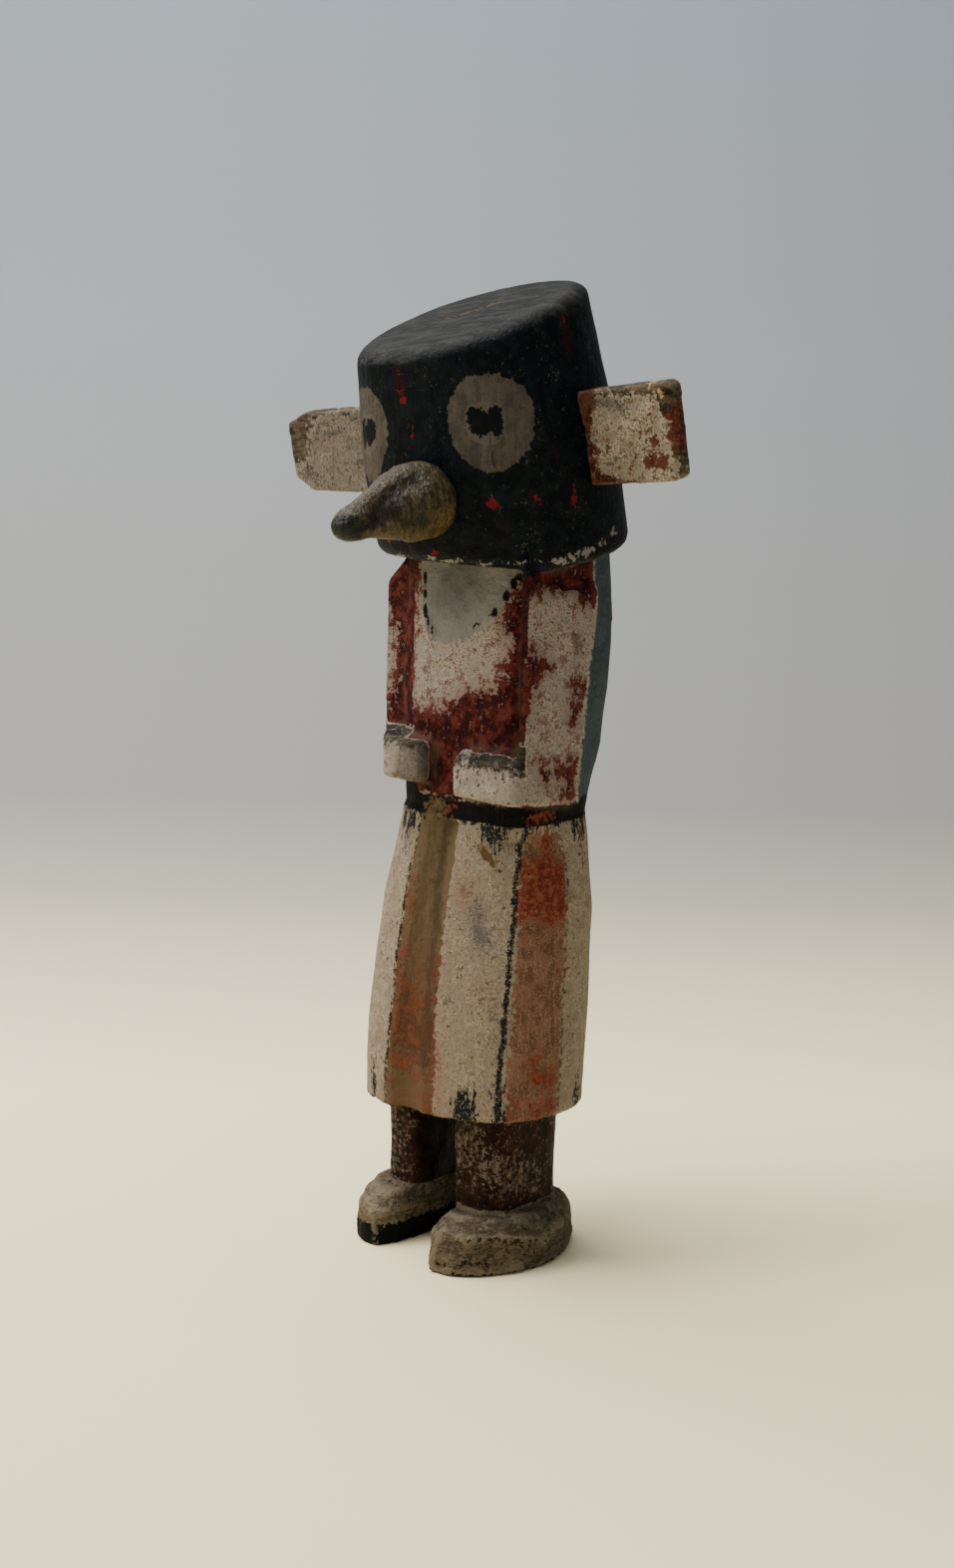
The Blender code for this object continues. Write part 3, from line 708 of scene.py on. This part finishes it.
        # raises the surface by thick, in millimetres, where amount is 1
        step = self.times(amount, thick)
        self.height = step if self.height is None else self.plus(self.height, step)

    def worn(self, cover, keep, kind="fine"):
        # cover with bare flecks; keep is the share that stays painted
        flecks = self.spots(1.0 - keep, kind, 0.2)
        return self.times(cover, self.maths("SUBTRACT", 1.0, flecks))

    def wood(self, light, dark, rough=1.0):
        self.lay(None, self.tone("wood", dark, light))
        for kind, thick in (("wood", 0.03), ("mid", 0.07), ("fine", 0.028), ("grit", 0.01)):
            self.lift(self.noise(kind), thick * rough)

    def done(self):
        bump = self.add("ShaderNodeBump")
        normal = self.wire(bump, {"Strength": 1.0, "Distance": mm, "Height": self.height})["Normal"]
        self.wire(self.shader, {"Base Color": self.colour, "Normal": normal})
        return self.material


woodTones = ((0.17, 0.105, 0.055), (0.05, 0.028, 0.014))
# grime: the dark colour laid in creases, both dirt and painted shade
whites = {"light": (0.39, 0.342, 0.295), "dusty": (0.27, 0.232, 0.198),
          "speck": (0.06, 0.044, 0.033), "grime": (0.075, 0.058, 0.036)}


def whitePaint(paint, light, dusty, specks):
    # chalky white over bare wood, dusty in patches and full of fine dark pits
    paint.wood(*woodTones)
    white = paint.tone("mid", dusty, light)
    paint.lay(paint.worn(1.0, 0.97), white, 0.04)
    pits = paint.spots(specks, "grit", 0.5, paint.shake("mid", 0.35))
    paint.lay(pits, whites["speck"], -0.03, 0.5)


def beltRubs(paint):
    # where the belt's black has come off, which crosses from the trunk to the kilt
    tan = paint.tone("fine", (0.05, 0.034, 0.02), (0.16, 0.105, 0.06))
    paint.coat("beltTan", 0.4, tan, 0.02, 0.9, fine=0.5)
    red = paint.tone("fine", (0.04, 0.006, 0.005), (0.16, 0.035, 0.018))
    paint.coat("beltRed", 0.3, red, 0.02, 0.9, fine=0.5)


def headPaint():
    paint = Paint("head_paint", gloss=0.06, roughness=0.55)
    paint.wood((0.05, 0.045, 0.04), (0.012, 0.011, 0.01), 0.45)
    black = paint.tone("mid", (0.0016, 0.0032, 0.005), (0.0048, 0.0076, 0.0098))
    paint.lay(paint.worn(1.0, 0.995), black, 0.01)
    paint.coat("redSmear", 0.35, (0.026, 0.0028, 0.0036), 0.0, 0.75, shift=-0.6,
               fine=0.12, wood=0.1)
    paint.coat("redFleck", 0.2, (0.135, 0.007, 0.012), 0.03, fine=0.26)
    top = paint.area("wornTop", 2.2, mid=0.9, crown=0.8)
    dusty = paint.tone("crown", (0.0095, 0.0092, 0.008), (0.019, 0.018, 0.0152))
    paint.lay(top, dusty, 0.0, 0.95)
    paint.lay(paint.times(paint.spots(0.14, "crown", 1.2, paint.shake("grit", 0.7)), top),
              (0.04, 0.038, 0.032), 0.0, 0.4)
    bias = paint.plus(paint.times(paint.field("scuffs"), 2.0), paint.shake("fine", 0.5))
    paint.lay(paint.spots(0.0022, "grit", 0.5, bias), (0.085, 0.083, 0.074), 0.01, 0.7)
    ring = paint.area("eyeRing", 0.16, fine=0.16, mid=0.12)
    paint.lay(ring, paint.tone("mid", (0.056, 0.048, 0.041), (0.084, 0.069, 0.056)), 0.04)
    paint.lay(paint.times(paint.spots(0.3, "wood", 0.8), ring), (0.12, 0.102, 0.082), 0.0, 0.32)
    paint.lay(paint.times(paint.spots(0.1, "grit", 0.5), ring), (0.03, 0.026, 0.022), 0.0, 0.45)
    paint.coat("eyeLine", 0.15, (0.105, 0.09, 0.073), 0.0, 0.75, fine=0.16)
    paint.coat("pupil", 0.12, (0.004, 0.0048, 0.0062), 0.03, fine=0.22, grit=0.08)
    paint.coat("eyeCrack", 0.12, (0.022, 0.017, 0.013), -0.15, 0.8, fine=0.05)
    paint.coat("rimChips", 0.2, (0.24, 0.22, 0.19), 0.03, 0.85, fine=0.35)
    paint.coat("gash", 0.25, paint.tone("fine", (0.008, 0.007, 0.006), (0.065, 0.045, 0.032)), -0.3,
               fine=0.7)
    return paint.done()


def trunkPaint():
    paint = Paint("trunk_paint")
    whitePaint(paint, whites["light"], whites["dusty"], 0.14)
    paint.coat("grease", 0.3, (0.06, 0.057, 0.048), 0.0, 0.6, shift=-0.62, mid=0.15, fine=0.15)
    blue = paint.area("blueBack", 0.4, mid=0.3, fine=0.2)
    slate = paint.tone("broad", (0.04, 0.06, 0.078), (0.054, 0.078, 0.098))
    paint.lay(paint.worn(blue, 0.98), slate, 0.03)
    front = paint.field("inFront")
    haze = paint.between(paint.plus(paint.field("redCoat"), paint.shake("mid", 0.9)), -4.6, 1.5)
    paint.lay(paint.times(haze, front), (0.175, 0.075, 0.064), 0.0, 0.75)
    flush = paint.times(paint.spots(0.34, "mid", 1.2, paint.shake("grit", 0.5)), front)
    paint.lay(flush, (0.2, 0.105, 0.092), 0.0, 0.42)
    near = paint.times(paint.maths("MAXIMUM", paint.field("redCoat"), -7.0), 0.16)
    stipple = paint.spots(0.36, "grit", 0.6, paint.plus(near, paint.shake("mid", 0.9)))
    rust = paint.tone("mid", (0.034, 0.022, 0.022), (0.105, 0.044, 0.038))
    paint.lay(paint.times(stipple, front), rust, 0.0, 0.52)
    paint.coat("collar", 0.8, paint.tone("broad", (0.108, 0.109, 0.108), (0.172, 0.169, 0.162)),
               0.0, 0.88, mid=0.6, fine=0.4)
    red = paint.area("redCoat", 0.5, fine=0.5, mid=1.0, grit=0.25)
    shade = paint.tone("mid", (0.021, 0.0028, 0.003), (0.084, 0.011, 0.0088))
    paint.lay(paint.worn(red, 0.975), shade, 0.03)
    paint.lay(paint.times(paint.spots(0.14, "mid", 0.9), red), (0.13, 0.045, 0.036), 0.0, 0.35)
    # painted shadow: a dark line down the crease beside the near arm, over a slight dent
    paint.coat("armGrooveShadow", 0.8, (0.012, 0.005, 0.005), -0.1, 0.85, fine=0.3)
    paint.coat("shadeHand", 3.0, paint.tone("fine", (0.045, 0.037, 0.028), (0.12, 0.1, 0.078)),
               0.0, 0.8, mid=1.2, fine=0.6)
    paint.coat("handTop", 1.3, paint.tone("layers", (0.009, 0.0068, 0.0036), (0.052, 0.039, 0.019)),
               0.0, 0.96, mid=0.7, fine=0.6)
    paint.coat("beads", 0.12, (0.0035, 0.0042, 0.0052), 0.05, fine=0.08)
    paint.coat("beltBand", 0.25, (0.0022, 0.0024, 0.0027), 0.02, fine=0.35)
    beltRubs(paint)
    # grime and painted shade in the creases of the trunk
    paint.creaseDirtAndShade(0.12, 0.5, whites["grime"], 0.5)
    return paint.done()


def kiltPaint():
    paint = Paint("kilt_paint")
    paint.wood(*woodTones)
    cream = paint.tone("mid", (0.245, 0.197, 0.145), (0.34, 0.275, 0.208))
    paint.lay(paint.worn(1.0, 0.98), cream, 0.04)
    pink = paint.between(paint.plus(paint.field("flush"), paint.shake("mid", 0.16)), 0.05, 1.3)
    paint.lay(pink, (0.25, 0.125, 0.09), 0.0, 0.75)
    rub = paint.times(paint.plus(paint.field("rubbed"), -1.0), 0.9)
    paint.lay(paint.spots(0.26, "grit", 0.7, paint.plus(rub, paint.shake("mid", 0.4))),
              (0.08, 0.066, 0.052), -0.03, 0.42)
    cloud = paint.between(paint.plus(paint.field("smudge"), paint.shake("mid", 0.14),
                                     paint.shake("grit", 0.16)), 0.05, 1.2)
    paint.lay(cloud, (0.07, 0.073, 0.076), 0.0, 0.75)
    stripe = paint.area("frontStripe", 0.35, fine=0.3, mid=0.2)
    level = paint.plus(paint.field("kiltHeight"), paint.shake("mid", 4.0))
    olive = paint.between(level, 70.0, 100.0)
    paint.lay(stripe, paint.blend(olive, (0.12, 0.069, 0.039), (0.125, 0.088, 0.048)), 0.02)
    paint.lay(paint.times(paint.spots(0.3, "fine", 0.9), stripe), (0.095, 0.064, 0.036), 0.0, 0.4)
    low = paint.area("frontRed", 2.6, fine=1.0, mid=2.2, wood=0.6, grit=1.0)
    brick = paint.tone("mid", (0.07, 0.026, 0.015), (0.15, 0.047, 0.023))
    paint.lay(paint.times(low, stripe), brick, 0.02, 0.8)
    # painted shade: a dark band down the flute in the front stripe
    fluteShade = paint.area("fluteShadow", 2.2, 1.4, mid=0.5, fine=0.3)
    paint.lay(paint.times(fluteShade, stripe), (0.032, 0.022, 0.012), 0.0, 0.62)
    side = paint.area("sideStripe", 0.35, fine=0.4, mid=0.25, wood=0.25)
    faded = paint.tone("mid", (0.115, 0.046, 0.026), (0.19, 0.088, 0.054))
    paint.lay(side, faded, 0.02, 0.92)
    showing = paint.times(paint.spots(0.24, "grit", 0.5, paint.shake("wood", 0.5)), side)
    paint.lay(showing, (0.27, 0.195, 0.135), 0.0, 0.55)
    strong = paint.area("strongRed", 0.5, fine=0.7, mid=0.6, wood=0.4, grit=0.3)
    vivid = paint.tone("fine", (0.115, 0.023, 0.013), (0.24, 0.06, 0.032))
    paint.lay(paint.worn(strong, 0.95), vivid, 0.04)
    lines = paint.area("kiltLines", 0.2, fine=0.16, grit=0.16, mid=0.06)
    paint.lay(paint.worn(lines, 0.9, "grit"), (0.0085, 0.01, 0.0125), 0.03)
    paint.coat("rightLine", 0.2, (0.05, 0.045, 0.04), 0.0, 0.7, fine=0.2)
    marks = paint.area("kiltMarks", 0.3, fine=0.42, wood=0.45)
    paint.lay(paint.worn(marks, 0.9, "grit"), (0.007, 0.009, 0.011), 0.03)
    beltRubs(paint)
    paint.coat("kiltChip", 0.12, paint.tone("wood", (0.1, 0.058, 0.024), (0.2, 0.125, 0.058)),
               -0.12, fine=0.16)
    # grime and painted shade in the creases of the kilt
    paint.creaseDirtAndShade(0.15, 0.6, whites["grime"], 0.5)
    return paint.done()


def legPaint():
    paint = Paint("leg_paint", roughness=0.6)
    paint.wood((0.16, 0.122, 0.092), (0.07, 0.05, 0.038))
    bias = paint.maths("MAXIMUM", paint.times(paint.field("legWear"), 0.42), -1.4)
    bias = paint.maths("MINIMUM", bias, 0.75)
    bias = paint.plus(bias, paint.shake("mid", 0.4), paint.times(paint.field("standsOut"), 1.4))
    bare = paint.spots(0.2, "fine", 0.4, paint.plus(bias, paint.shake("grit", 0.6)))
    brown = paint.tone("mid", (0.01, 0.0032, 0.002), (0.026, 0.0078, 0.0042))
    paint.lay(paint.maths("SUBTRACT", 1.0, bare), brown, 0.05)
    # painted shadow: near black on the inner faces of the legs
    paint.coat("legGapShadow", 1.2, (0.0018, 0.0012, 0.001), 0.0, 0.95, fine=0.6)
    return paint.done()


def footPaint():
    paint = Paint("foot_paint")
    paint.wood(*woodTones, 1.6)
    olive = paint.tone("layers", (0.066, 0.051, 0.031), (0.17, 0.132, 0.084))
    paint.lay(paint.worn(1.0, 0.95), olive, 0.05)
    # painted light: a paler tone laid over the far foot
    pale = paint.tone("layers", (0.13, 0.1, 0.064), (0.33, 0.262, 0.18))
    paint.lay(paint.field("farFootLight"), pale, 0.0, 0.85)
    for spots, colour, thick, strength in (
            ((0.25, "layers", 0.9, paint.shake("mid", 0.5)), (0.045, 0.041, 0.033), 0.0, 0.45),
            ((0.16, "wood", 0.6, paint.shake("layers", 0.5)), (0.15, 0.115, 0.074), 0.0, 0.45),
            ((0.1, "fine", 0.3, paint.shake("layers", 0.6)), (0.026, 0.019, 0.012), -0.08, 0.8)):
        paint.lay(paint.spots(*spots), colour, thick, strength)
    paint.lay(paint.edges(0.07, 0.14, 0.42), (0.23, 0.185, 0.125), 0.0, 0.7)
    paint.coat("footCrack", 0.15, (0.014, 0.01, 0.007), -0.25, 0.9, fine=0.25)
    paint.coat("soleBand", 0.25, (0.0042, 0.0042, 0.0042), 0.02, fine=0.3, mid=0.2)
    paint.coat("toeLine", 0.2, (0.2, 0.175, 0.135), 0.0, 0.75, fine=0.3)
    paint.creaseDirtAndShade(0.1, 0.5, (0.2, 0.155, 0.105), 0.45)
    return paint.done()


for finish in (headPaint(), trunkPaint(), kiltPaint(), legPaint(), footPaint()):
    figure.mesh.materials.append(finish)
flat = np.zeros(len(figure.mesh.polygons) * 3)
figure.mesh.polygons.foreach_get("center", flat)
middles = flat.reshape(-1, 3) / mm
zone = np.full(len(middles), 1)  # head 0, trunk 1, kilt 2, legs 3, feet 4
for number, top in enumerate(tops.values(), 2):
    zone[middles[:, 2] < top] = number
zone[aboveRim(headPlace(middles)) > rimSlack] = 0
figure.mesh.polygons.foreach_set("material_index", zone.astype(np.int32))
figure.show()
print("figure painted")

# the beak, with a hollow along each side and a rounded black tip; places in the head's own frame

beakCarving = {"grain": 0.42, "softened": 3, "middle": 0.6}
upperHollow = [
    (5.5, -39.6, 22.2), (5.1, -44.1, 21.6), (4.6, -49.1, 20.4), (4.4, -52.5, 19), (4.6, -55, 17.6),
]
lowerHollow = [
    (2.9, -62.2, 15), (3.9, -60.6, 15.4), (4.6, -56.7, 15.4), (5.6, -52.4, 16.1),
    (6.3, -49.3, 16.6),
]
nostril = [(6.6, -46.8, 13.4), (7.4, -42.0, 12.6), (7.0, -40.6, 11.4)]
lip = [(2.4, -61.6, 13.0), (3.4, -59.4, 13.4), (4.3, -55.0, 13.8)]
brow = [(2.5, -61.6, 17.4), (3.6, -60.0, 17.3), (4.3, -55.8, 17.8)]

beak = Surface("beak", beakCarving["grain"], beakCarving["softened"])
own = headPlace(beak.points)
middle = beakCarving["middle"]
own[:, 0] = middle + np.abs(own[:, 0] - middle)  # both sides alike


def ridge(path, width, depth):
    return depth * np.exp(-(fromPath(own, path) / width) ** 2)


height = lumps(beak.points, 6.0, 31) * 0.3 + knifeCuts(beak.points, 5.0, 43) * 0.22
for marks in ((upperHollow, 2.6, -1.25), (lowerHollow, 1.5, -0.75), (nostril, 2.0, -0.5),
              (lip, 1.2, 0.25), (brow, 1.4, 0.3)):
    height += ridge(*marks)
height *= np.clip((own[:, 1] + 64.6) / 3.0, 0.0, 1.0)
beak.carve(height)
own = headPlace(beak.points)
own[:, 0] = middle + np.abs(own[:, 0] - middle)
tip = np.array([1.0, -62.6, 15.0])
beak.field("beakTip", 3.5 - np.linalg.norm((own - tip) * (1.0, 0.9, 1.0), axis=1))
hollows = ridge(upperHollow, 2.4, 1.0) + ridge(lowerHollow, 1.5, 1.3)
beak.field("hollows", hollows + ridge(nostril, 2.2, 1.0))
beak.field("yellow", smudges(own[:, 1], own[:, 2], [
    (-36.0, 10.0, 8.0, 3.6, 1.2), (-31.0, 14.0, 3.0, 6.0, 1.0), (-52.0, 11.6, 6.0, 1.6, 0.6),
    (-33.0, 22.5, 4.0, 3.0, 0.4)]))
beak.field("glueLine", own[:, 1] + 31.2)
beak.field("standsOut", beak.standsOut())


def beakPaint():
    paint = Paint("beak_paint", gloss=0.22, roughness=0.45)
    paint.wood(*woodTones)
    olive = paint.tone("fine", (0.026, 0.021, 0.011), (0.072, 0.054, 0.027))
    paint.lay(paint.worn(1.0, 0.96), olive, 0.03)
    paint.lay(paint.spots(0.16, "wood", 0.5), (0.125, 0.097, 0.052), 0.0, 0.55)
    paint.coat("yellow", 0.5, paint.tone("mid", (0.06, 0.038, 0.009), (0.135, 0.089, 0.022)),
               0.0, 0.8, shift=-0.55, mid=0.15, fine=0.12)
    paint.lay(paint.spots(0.1, "mid", 0.4), (0.036, 0.03, 0.027), 0.0, 0.6)
    paint.coat("hollows", 0.35, (0.014, 0.012, 0.006), 0.0, 0.85, shift=-0.62, mid=0.1, fine=0.14)
    paint.lay(paint.edges(0.05, 0.12, 0.32), (0.155, 0.12, 0.068), 0.0, 0.5)
    paint.coat("glueLine", 0.25, (0.008, 0.008, 0.007), 0.0, 0.9, fine=0.45)
    paint.coat("beakTip", 0.25, (0.008, 0.0085, 0.007), 0.04, fine=0.35)
    return paint.done()


beak.mesh.materials.append(beakPaint())
beak.show()

# the ears: places on the front face of each, across and up in the head's own frame

ears = {
    "ear_left": {
        "red": [
            [(20, 37), (34.6, 36.4), (34.6, 34.7), (33.4, 31.9), (33, 28.9), (32.2, 25.6),
             (33.2, 21.7), (32.4, 19.4), (33.4, 16.8), (38, 15), (44, 14.4), (44, 11), (20, 11)],
            [(47.9, 23.6), (49.6, 24.9), (50.8, 21.2), (48.8, 22.2)],
            [(45.6, 18.5), (47.5, 20.8), (49.5, 19.6), (52.1, 19.6), (50.9, 16.4), (46.5, 17)],
            [(34.7, 16.3), (37.1, 15.9), (41.2, 16), (38.7, 15.2), (36, 15.3)],
            [(52.3, 30), (52.9, 27.1), (53.3, 23.4), (53.5, 19.5), (60, 18), (60, 40), (53, 40)],
        ],
        "grime": [
            [(33.5, 40), (33.5, 34.9), (37.9, 34.8), (41.1, 34.2), (44.9, 34.6), (50, 34.2),
             (51, 31.8), (51.9, 29.6), (53.4, 30.5), (55, 33), (56, 40)],
            [(54, 20), (60, 21), (60, 14), (54, 14)],
        ],
        "chip": [[(46.8, 37.6), (47.8, 37.6), (53.6, 33.7), (52.6, 33.2), (49.5, 34.8)]],
        "smudge": [
            (36.5, 32.6, 4.6, 1.6, 0.9), (40.5, 31, 2.6, 1.6, 0.7), (36.4, 18.2, 1.4, 0.5, 1.2),
            (38.6, 19.4, 2.4, 0.4, 0.9), (47.5, 21, 4, 4, 0.35),
        ],
        "stipple": [(48, 24, 4.5, 7, 1), (43, 20, 6, 4, 0.6)],
        "grey": 0.0,
    },
    "ear_right": {
        "red": [],
        "grime": [
            [(-30, 40), (-30, 34.4), (-40, 34), (-46, 33.2), (-50.8, 31.6), (-52.8, 28.4),
             (-54.2, 23.7), (-56, 20.9), (-62, 19.6), (-62, 40)],
        ],
        "chip": [[(-58.6, 21.6), (-57.4, 22.2), (-57, 21)]],
        "smudge": [
            (-45, 28.2, 3.6, 0.7, 1), (-41.6, 29.4, 1.8, 0.6, 0.8), (-47, 30.9, 2.6, 0.5, 0.8),
            (-36.6, 31.6, 1.8, 0.6, 1.2), (-35.6, 25.2, 1, 0.7, 1.4), (-36, 20.8, 2.4, 0.5, 1.2),
            (-54.5, 18, 3, 2, 0.9), (-38, 19.6, 2, 1.6, 0.5),
        ],
        "stipple": [],
        # the far ear takes painted shade
        "grey": 1.0,
    },
}
earCarving = {"grain": 0.45, "softened": 2}


def earPaint():
    paint = Paint("ear_paint")
    whitePaint(paint, (0.4, 0.338, 0.26), (0.27, 0.228, 0.175), 0.2)
    # painted shade: the far ear dimmed toward grey
    paint.lay(paint.times(paint.field("earShadow"), 0.62), (0.145, 0.142, 0.134), 0.0)
    drift = paint.plus(paint.times(paint.field("earStipple"), 1.5), paint.shake("fine", 0.8))
    paint.lay(paint.spots(0.035, "grit", 0.5, drift), (0.13, 0.045, 0.03), 0.0, 0.65)
    border = paint.area("earRed", 0.3, fine=0.35, mid=0.3)
    rust = paint.tone("mid", (0.052, 0.013, 0.008), (0.125, 0.034, 0.019))
    paint.lay(paint.worn(border, 0.95), rust, 0.03)
    paint.coat("earSmudge", 0.35, (0.055, 0.052, 0.046), 0.0, 0.7, shift=-0.5, mid=0.12, grit=0.18)
    paint.coat("earGrime", 0.5, paint.tone("layers", (0.016, 0.012, 0.008), (0.09, 0.067, 0.042)),
               0.0, 0.93, fine=0.5, mid=0.5)
    paint.coat("earChip", 0.2, paint.tone("fine", (0.22, 0.14, 0.075), (0.42, 0.3, 0.18)), -0.08,
               fine=0.25)
    paint.lay(paint.edges(0.05, 0.14, 0.34), (0.26, 0.185, 0.125), 0.0, 0.35)
    return paint.done()


earFinish = earPaint()
for node, marks in ears.items():
    ear = Surface(node, earCarving["grain"], earCarving["softened"])
    ear.carve(lumps(ear.points, 5.0, 41) * 0.18 + knifeCuts(ear.points, 5.0, 53) * 0.22)
    own = headPlace(ear.points)
    across, up = own[:, 0], own[:, 2]
    for mark in ("red", "grime", "chip"):
        ear.field("ear" + mark.capitalize(), insideAny(across, up, marks[mark]))
    for mark in ("smudge", "stipple"):
        ear.field("ear" + mark.capitalize(), smudges(across, up, marks[mark]))
    # painted shade: 1 on the far ear, 0 on the near one
    ear.field("earShadow", np.full(len(own), marks["grey"]))
    ear.field("standsOut", ear.standsOut())
    ear.mesh.materials.append(earFinish)
    ear.show()
print("beak and ears painted")

# the studio: a pale sweep, soft lights and the camera

view = {"azimuth": 40.0, "rise": 10.0, "roll": 1.5, "distance": 0.59,
        "aim": (0.0039, 0.0117, 0.12), "focalPixels": 2360.0, "picturePixels": 1573.0,
        "sensor": 36.0}
azimuth, rise, roll = (math.radians(view[key]) for key in ("azimuth", "rise", "roll"))
aside = Vector((math.cos(azimuth), math.sin(azimuth), 0.0))
away = Vector((-math.sin(azimuth), math.cos(azimuth), 0.0))

studio = {"front": -0.7, "middle": -0.2, "bend": 0.5, "radius": 0.45, "top": 1.5, "half": 1.8,
          "steps": 16, "reach": 0.7, "slant": 0.25}
# the paper's colours, with painted light and shade: bright warm cream on the floor, darker and
# cooler higher up; each at a height plus a share (slant) of the distance back, in parts of reach
paperLightRamp = [
    (0, (0.9, 0.795, 0.5)), (0.045, (0.93, 0.835, 0.53)), (0.085, (0.72, 0.65, 0.44)),
    (0.145, (0.435, 0.408, 0.32)), (0.22, (0.302, 0.297, 0.274)), (0.6, (0.317, 0.332, 0.354)),
    (1, (0.312, 0.366, 0.438)),
]
profile = [(studio["front"], 0.0), (studio["middle"], 0.0), (studio["bend"], 0.0)]
for step in range(1, studio["steps"] + 1):
    turn = math.radians(90.0 * step / studio["steps"])
    forth, up = math.sin(turn), 1.0 - math.cos(turn)
    profile.append((studio["bend"] + forth * studio["radius"], up * studio["radius"]))
profile.append((studio["bend"] + studio["radius"], studio["top"]))
corners = []
for distance, lift in profile:
    for hand in (-1.0, 1.0):
        corners.append(away * distance + aside * (hand * studio["half"]) + Vector((0, 0, lift)))
strips = [(2 * i, 2 * i + 1, 2 * i + 3, 2 * i + 2) for i in range(len(profile) - 1)]
sweepMesh = bpy.data.meshes.new("studio_sweep")
sweepMesh.from_pydata(corners, [], strips)
sweepMesh.shade_smooth()
sweep = bpy.data.objects.new("studio_sweep", sweepMesh)
bpy.context.scene.collection.objects.link(sweep)


def shadedSweepPaper():
    # painted light and shade on the paper: bright warm cream at the bottom, darker cool grey higher
    # up
    paper = bpy.data.materials.new("sweep_paper_shaded")
    paper.use_nodes = True
    tree = paper.node_tree
    shader = tree.nodes["Principled BSDF"]
    shader.inputs["Roughness"].default_value = 0.95
    shader.inputs["Specular IOR Level"].default_value = 0.1
    place = tree.nodes.new("ShaderNodeTexCoord")
    share = tree.nodes.new("ShaderNodeVectorMath")
    share.operation = "DOT_PRODUCT"
    tree.links.new(place.outputs["Object"], share.inputs[0])
    share.inputs[1].default_value = (away * studio["slant"] + Vector((0, 0, 1.0))) / studio["reach"]
    ramp = tree.nodes.new("ShaderNodeValToRGB")
    tones = ramp.color_ramp.elements
    tones[0].color = (*paperLightRamp[0][1], 1.0)
    tones[1].color = (*paperLightRamp[-1][1], 1.0)
    for place, colour in paperLightRamp[1:-1]:
        tones.new(place).color = (*colour, 1.0)
    tree.links.new(share.outputs["Value"], ramp.inputs["Fac"])
    tree.links.new(ramp.outputs["Color"], shader.inputs["Base Color"])
    return paper


sweepMesh.materials.append(shadedSweepPaper())

world = bpy.data.worlds.new("studio_air")
bpy.context.scene.world = world
world.use_nodes = True
air = world.node_tree.nodes["Background"].inputs
air["Color"].default_value = (0.86, 0.92, 1.0, 1.0)
air["Strength"].default_value = 0.21

lamps = {
    "window": {"place": (-0.85, 0.12, 0.8), "aim": 0.12, "side": 0.45, "power": 5.6,
               "colour": (1.0, 0.96, 0.9)},
    "overhead": {"place": (-0.38, -0.12, 1.05), "aim": 0.0, "side": 0.9, "power": 26.0,
                 "colour": (1.0, 0.98, 0.94)},
    "fill": {"place": (0.45, 0.85, 0.4), "aim": 0.12, "side": 0.7, "power": 1.5,
             "colour": (0.9, 0.95, 1.0)},
}
for name, lamp in lamps.items():
    data = bpy.data.lights.new(name, "AREA")
    data.shape = "RECTANGLE"
    data.size = data.size_y = lamp["side"]
    data.energy = lamp["power"]
    data.color = lamp["colour"]
    light = bpy.data.objects.new(name, data)
    right, toward, up = lamp["place"]
    light.location = aside * right - away * toward + Vector((0, 0, up))
    beam = Vector((0, 0, lamp["aim"])) - light.location
    light.rotation_euler = beam.to_track_quat("-Z", "Y").to_euler()
    bpy.context.scene.collection.objects.link(light)

spread = math.cos(rise)
back = Vector((math.sin(azimuth) * spread, -math.cos(azimuth) * spread, math.sin(rise)))
over = back.cross(aside)
rolledRight = aside * math.cos(roll) + over * math.sin(roll)
rolledUp = over * math.cos(roll) - aside * math.sin(roll)
lens = bpy.data.cameras.new("camera")
lens.lens = view["focalPixels"] / view["picturePixels"] * view["sensor"]
lens.sensor_width = view["sensor"]
lens.clip_start = 0.01
camera = bpy.data.objects.new("camera", lens)
place = Vector(view["aim"]) + back * view["distance"]
rows = [(rolledRight[i], rolledUp[i], back[i], place[i]) for i in range(3)]
camera.matrix_world = Matrix(rows + [(0, 0, 0, 1)])
bpy.context.scene.collection.objects.link(camera)
bpy.context.scene.camera = camera
print("studio ready")
